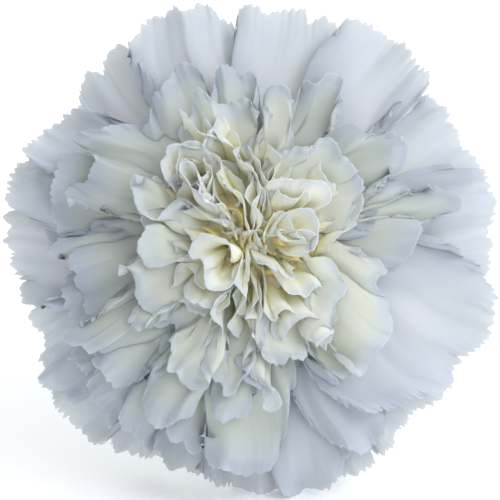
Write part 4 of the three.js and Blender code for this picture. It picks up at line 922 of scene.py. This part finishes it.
# ---------- Leaf pair
# Two narrow leaves face each other across the joint, their feet grown together into a short sheath. They
# are firm, channelled along the middle and grey-green with wax, and their tips lie on the surface.
LEAF_WIDTH = 5.6
LEAF_STEPS = 110
LEAF_HALF = 0.3  # half their thickness at the foot's middle


def surface_at(z):
    """How far down the bloom's face the surface is, at a height along its axis."""
    return -(MOUTH_HEIGHT + z * math.sin(LEAN)) / math.cos(LEAN)


# Each leaf's midrib from the sheath to the tip, and the sheath's section as radius and height from the
# joint.
LEAF_ROUTES = [
    [(4.2, 0, -56.5), (9, 2.2, -51), (16.5, -1, -46), (22.5, -10.5, -43.5),
     (25.5, surface_at(-43), -43), (28.5, surface_at(-42.5) + 0.2, -42.5)],
    [(-2.2, 0, -56.5), (-7, 2.6, -52.5), (-14.5, -0.6, -49.5), (-21, -9.5, -48.5),
     (-24.5, surface_at(-48.5), -48.5), (-27.5, surface_at(-48.8) + 0.2, -48.8)],
]
SHEATH_RADIUS = KNOT_RADIUS + GAP
SHEATH_SECTION = [(0, -1.5), (0.55, -1.45), (0.8, -0.9), (0.95, 1.5), (0.7, 3.2), (0.35, 3.6), (0, 3.4),
                  (0, 1)]

leaves = []
for number, route in enumerate(LEAF_ROUTES):
    path, travel = smooth_line(route, 40, LEAF_STEPS)
    run = np.gradient(path, axis=0)
    run = run / np.linalg.norm(run, axis=1, keepdims=True)
    t = np.linspace(0, 1, LEAF_STEPS)[:, None]
    s = np.linspace(-1, 1, 25)[None, :]
    width = LEAF_WIDTH / 2 * np.minimum(1, 0.5 + 2 * t) * (1 - t ** 2.2) + 0.12
    side = np.cross(run, (0, 0, 1))
    side /= np.linalg.norm(side, axis=1, keepdims=True)
    down = np.cross(side, run)
    channel = -0.28 * width * np.abs(s) ** 1.5
    pick = np.random.default_rng(60 + number)
    wave = 0.18 * np.sin(t * 21 + pick.uniform(0, 6)) * s ** 2
    grid = path[:, None, :] + side[:, None, :] * (width * s)[..., None] \
        + down[:, None, :] * (channel + wave)[..., None]
    thick = LEAF_HALF * (1 - 0.75 * np.abs(s) ** 3) * (1.25 - 0.7 * t)
    leaves.append(closed_blade(grid, thick[..., None], width * s, travel[:, None], t))
leaf_skin = green_tissue("leaf_skin", "93AD92", "7C9A7F", 0.45, "B3C4B6", "A9A878", 0.93)
piece("leaves", *gathered(leaves), leaf_skin, "leaf_pair", "leaves")
angle = np.linspace(0, 2 * math.pi, 72, endpoint=False)
points, faces = closed_tube([ring(SHEATH_RADIUS + r, angle, z - KNOT, stem_bow(z - KNOT))
                             for r, z in SHEATH_SECTION], wrap=True)
strand = round_strand(points, SHEATH_RADIUS, np.zeros(len(points)))
piece("leaf_sheath", points, faces, True, strand, leaf_skin, "leaf_pair", "leaves")
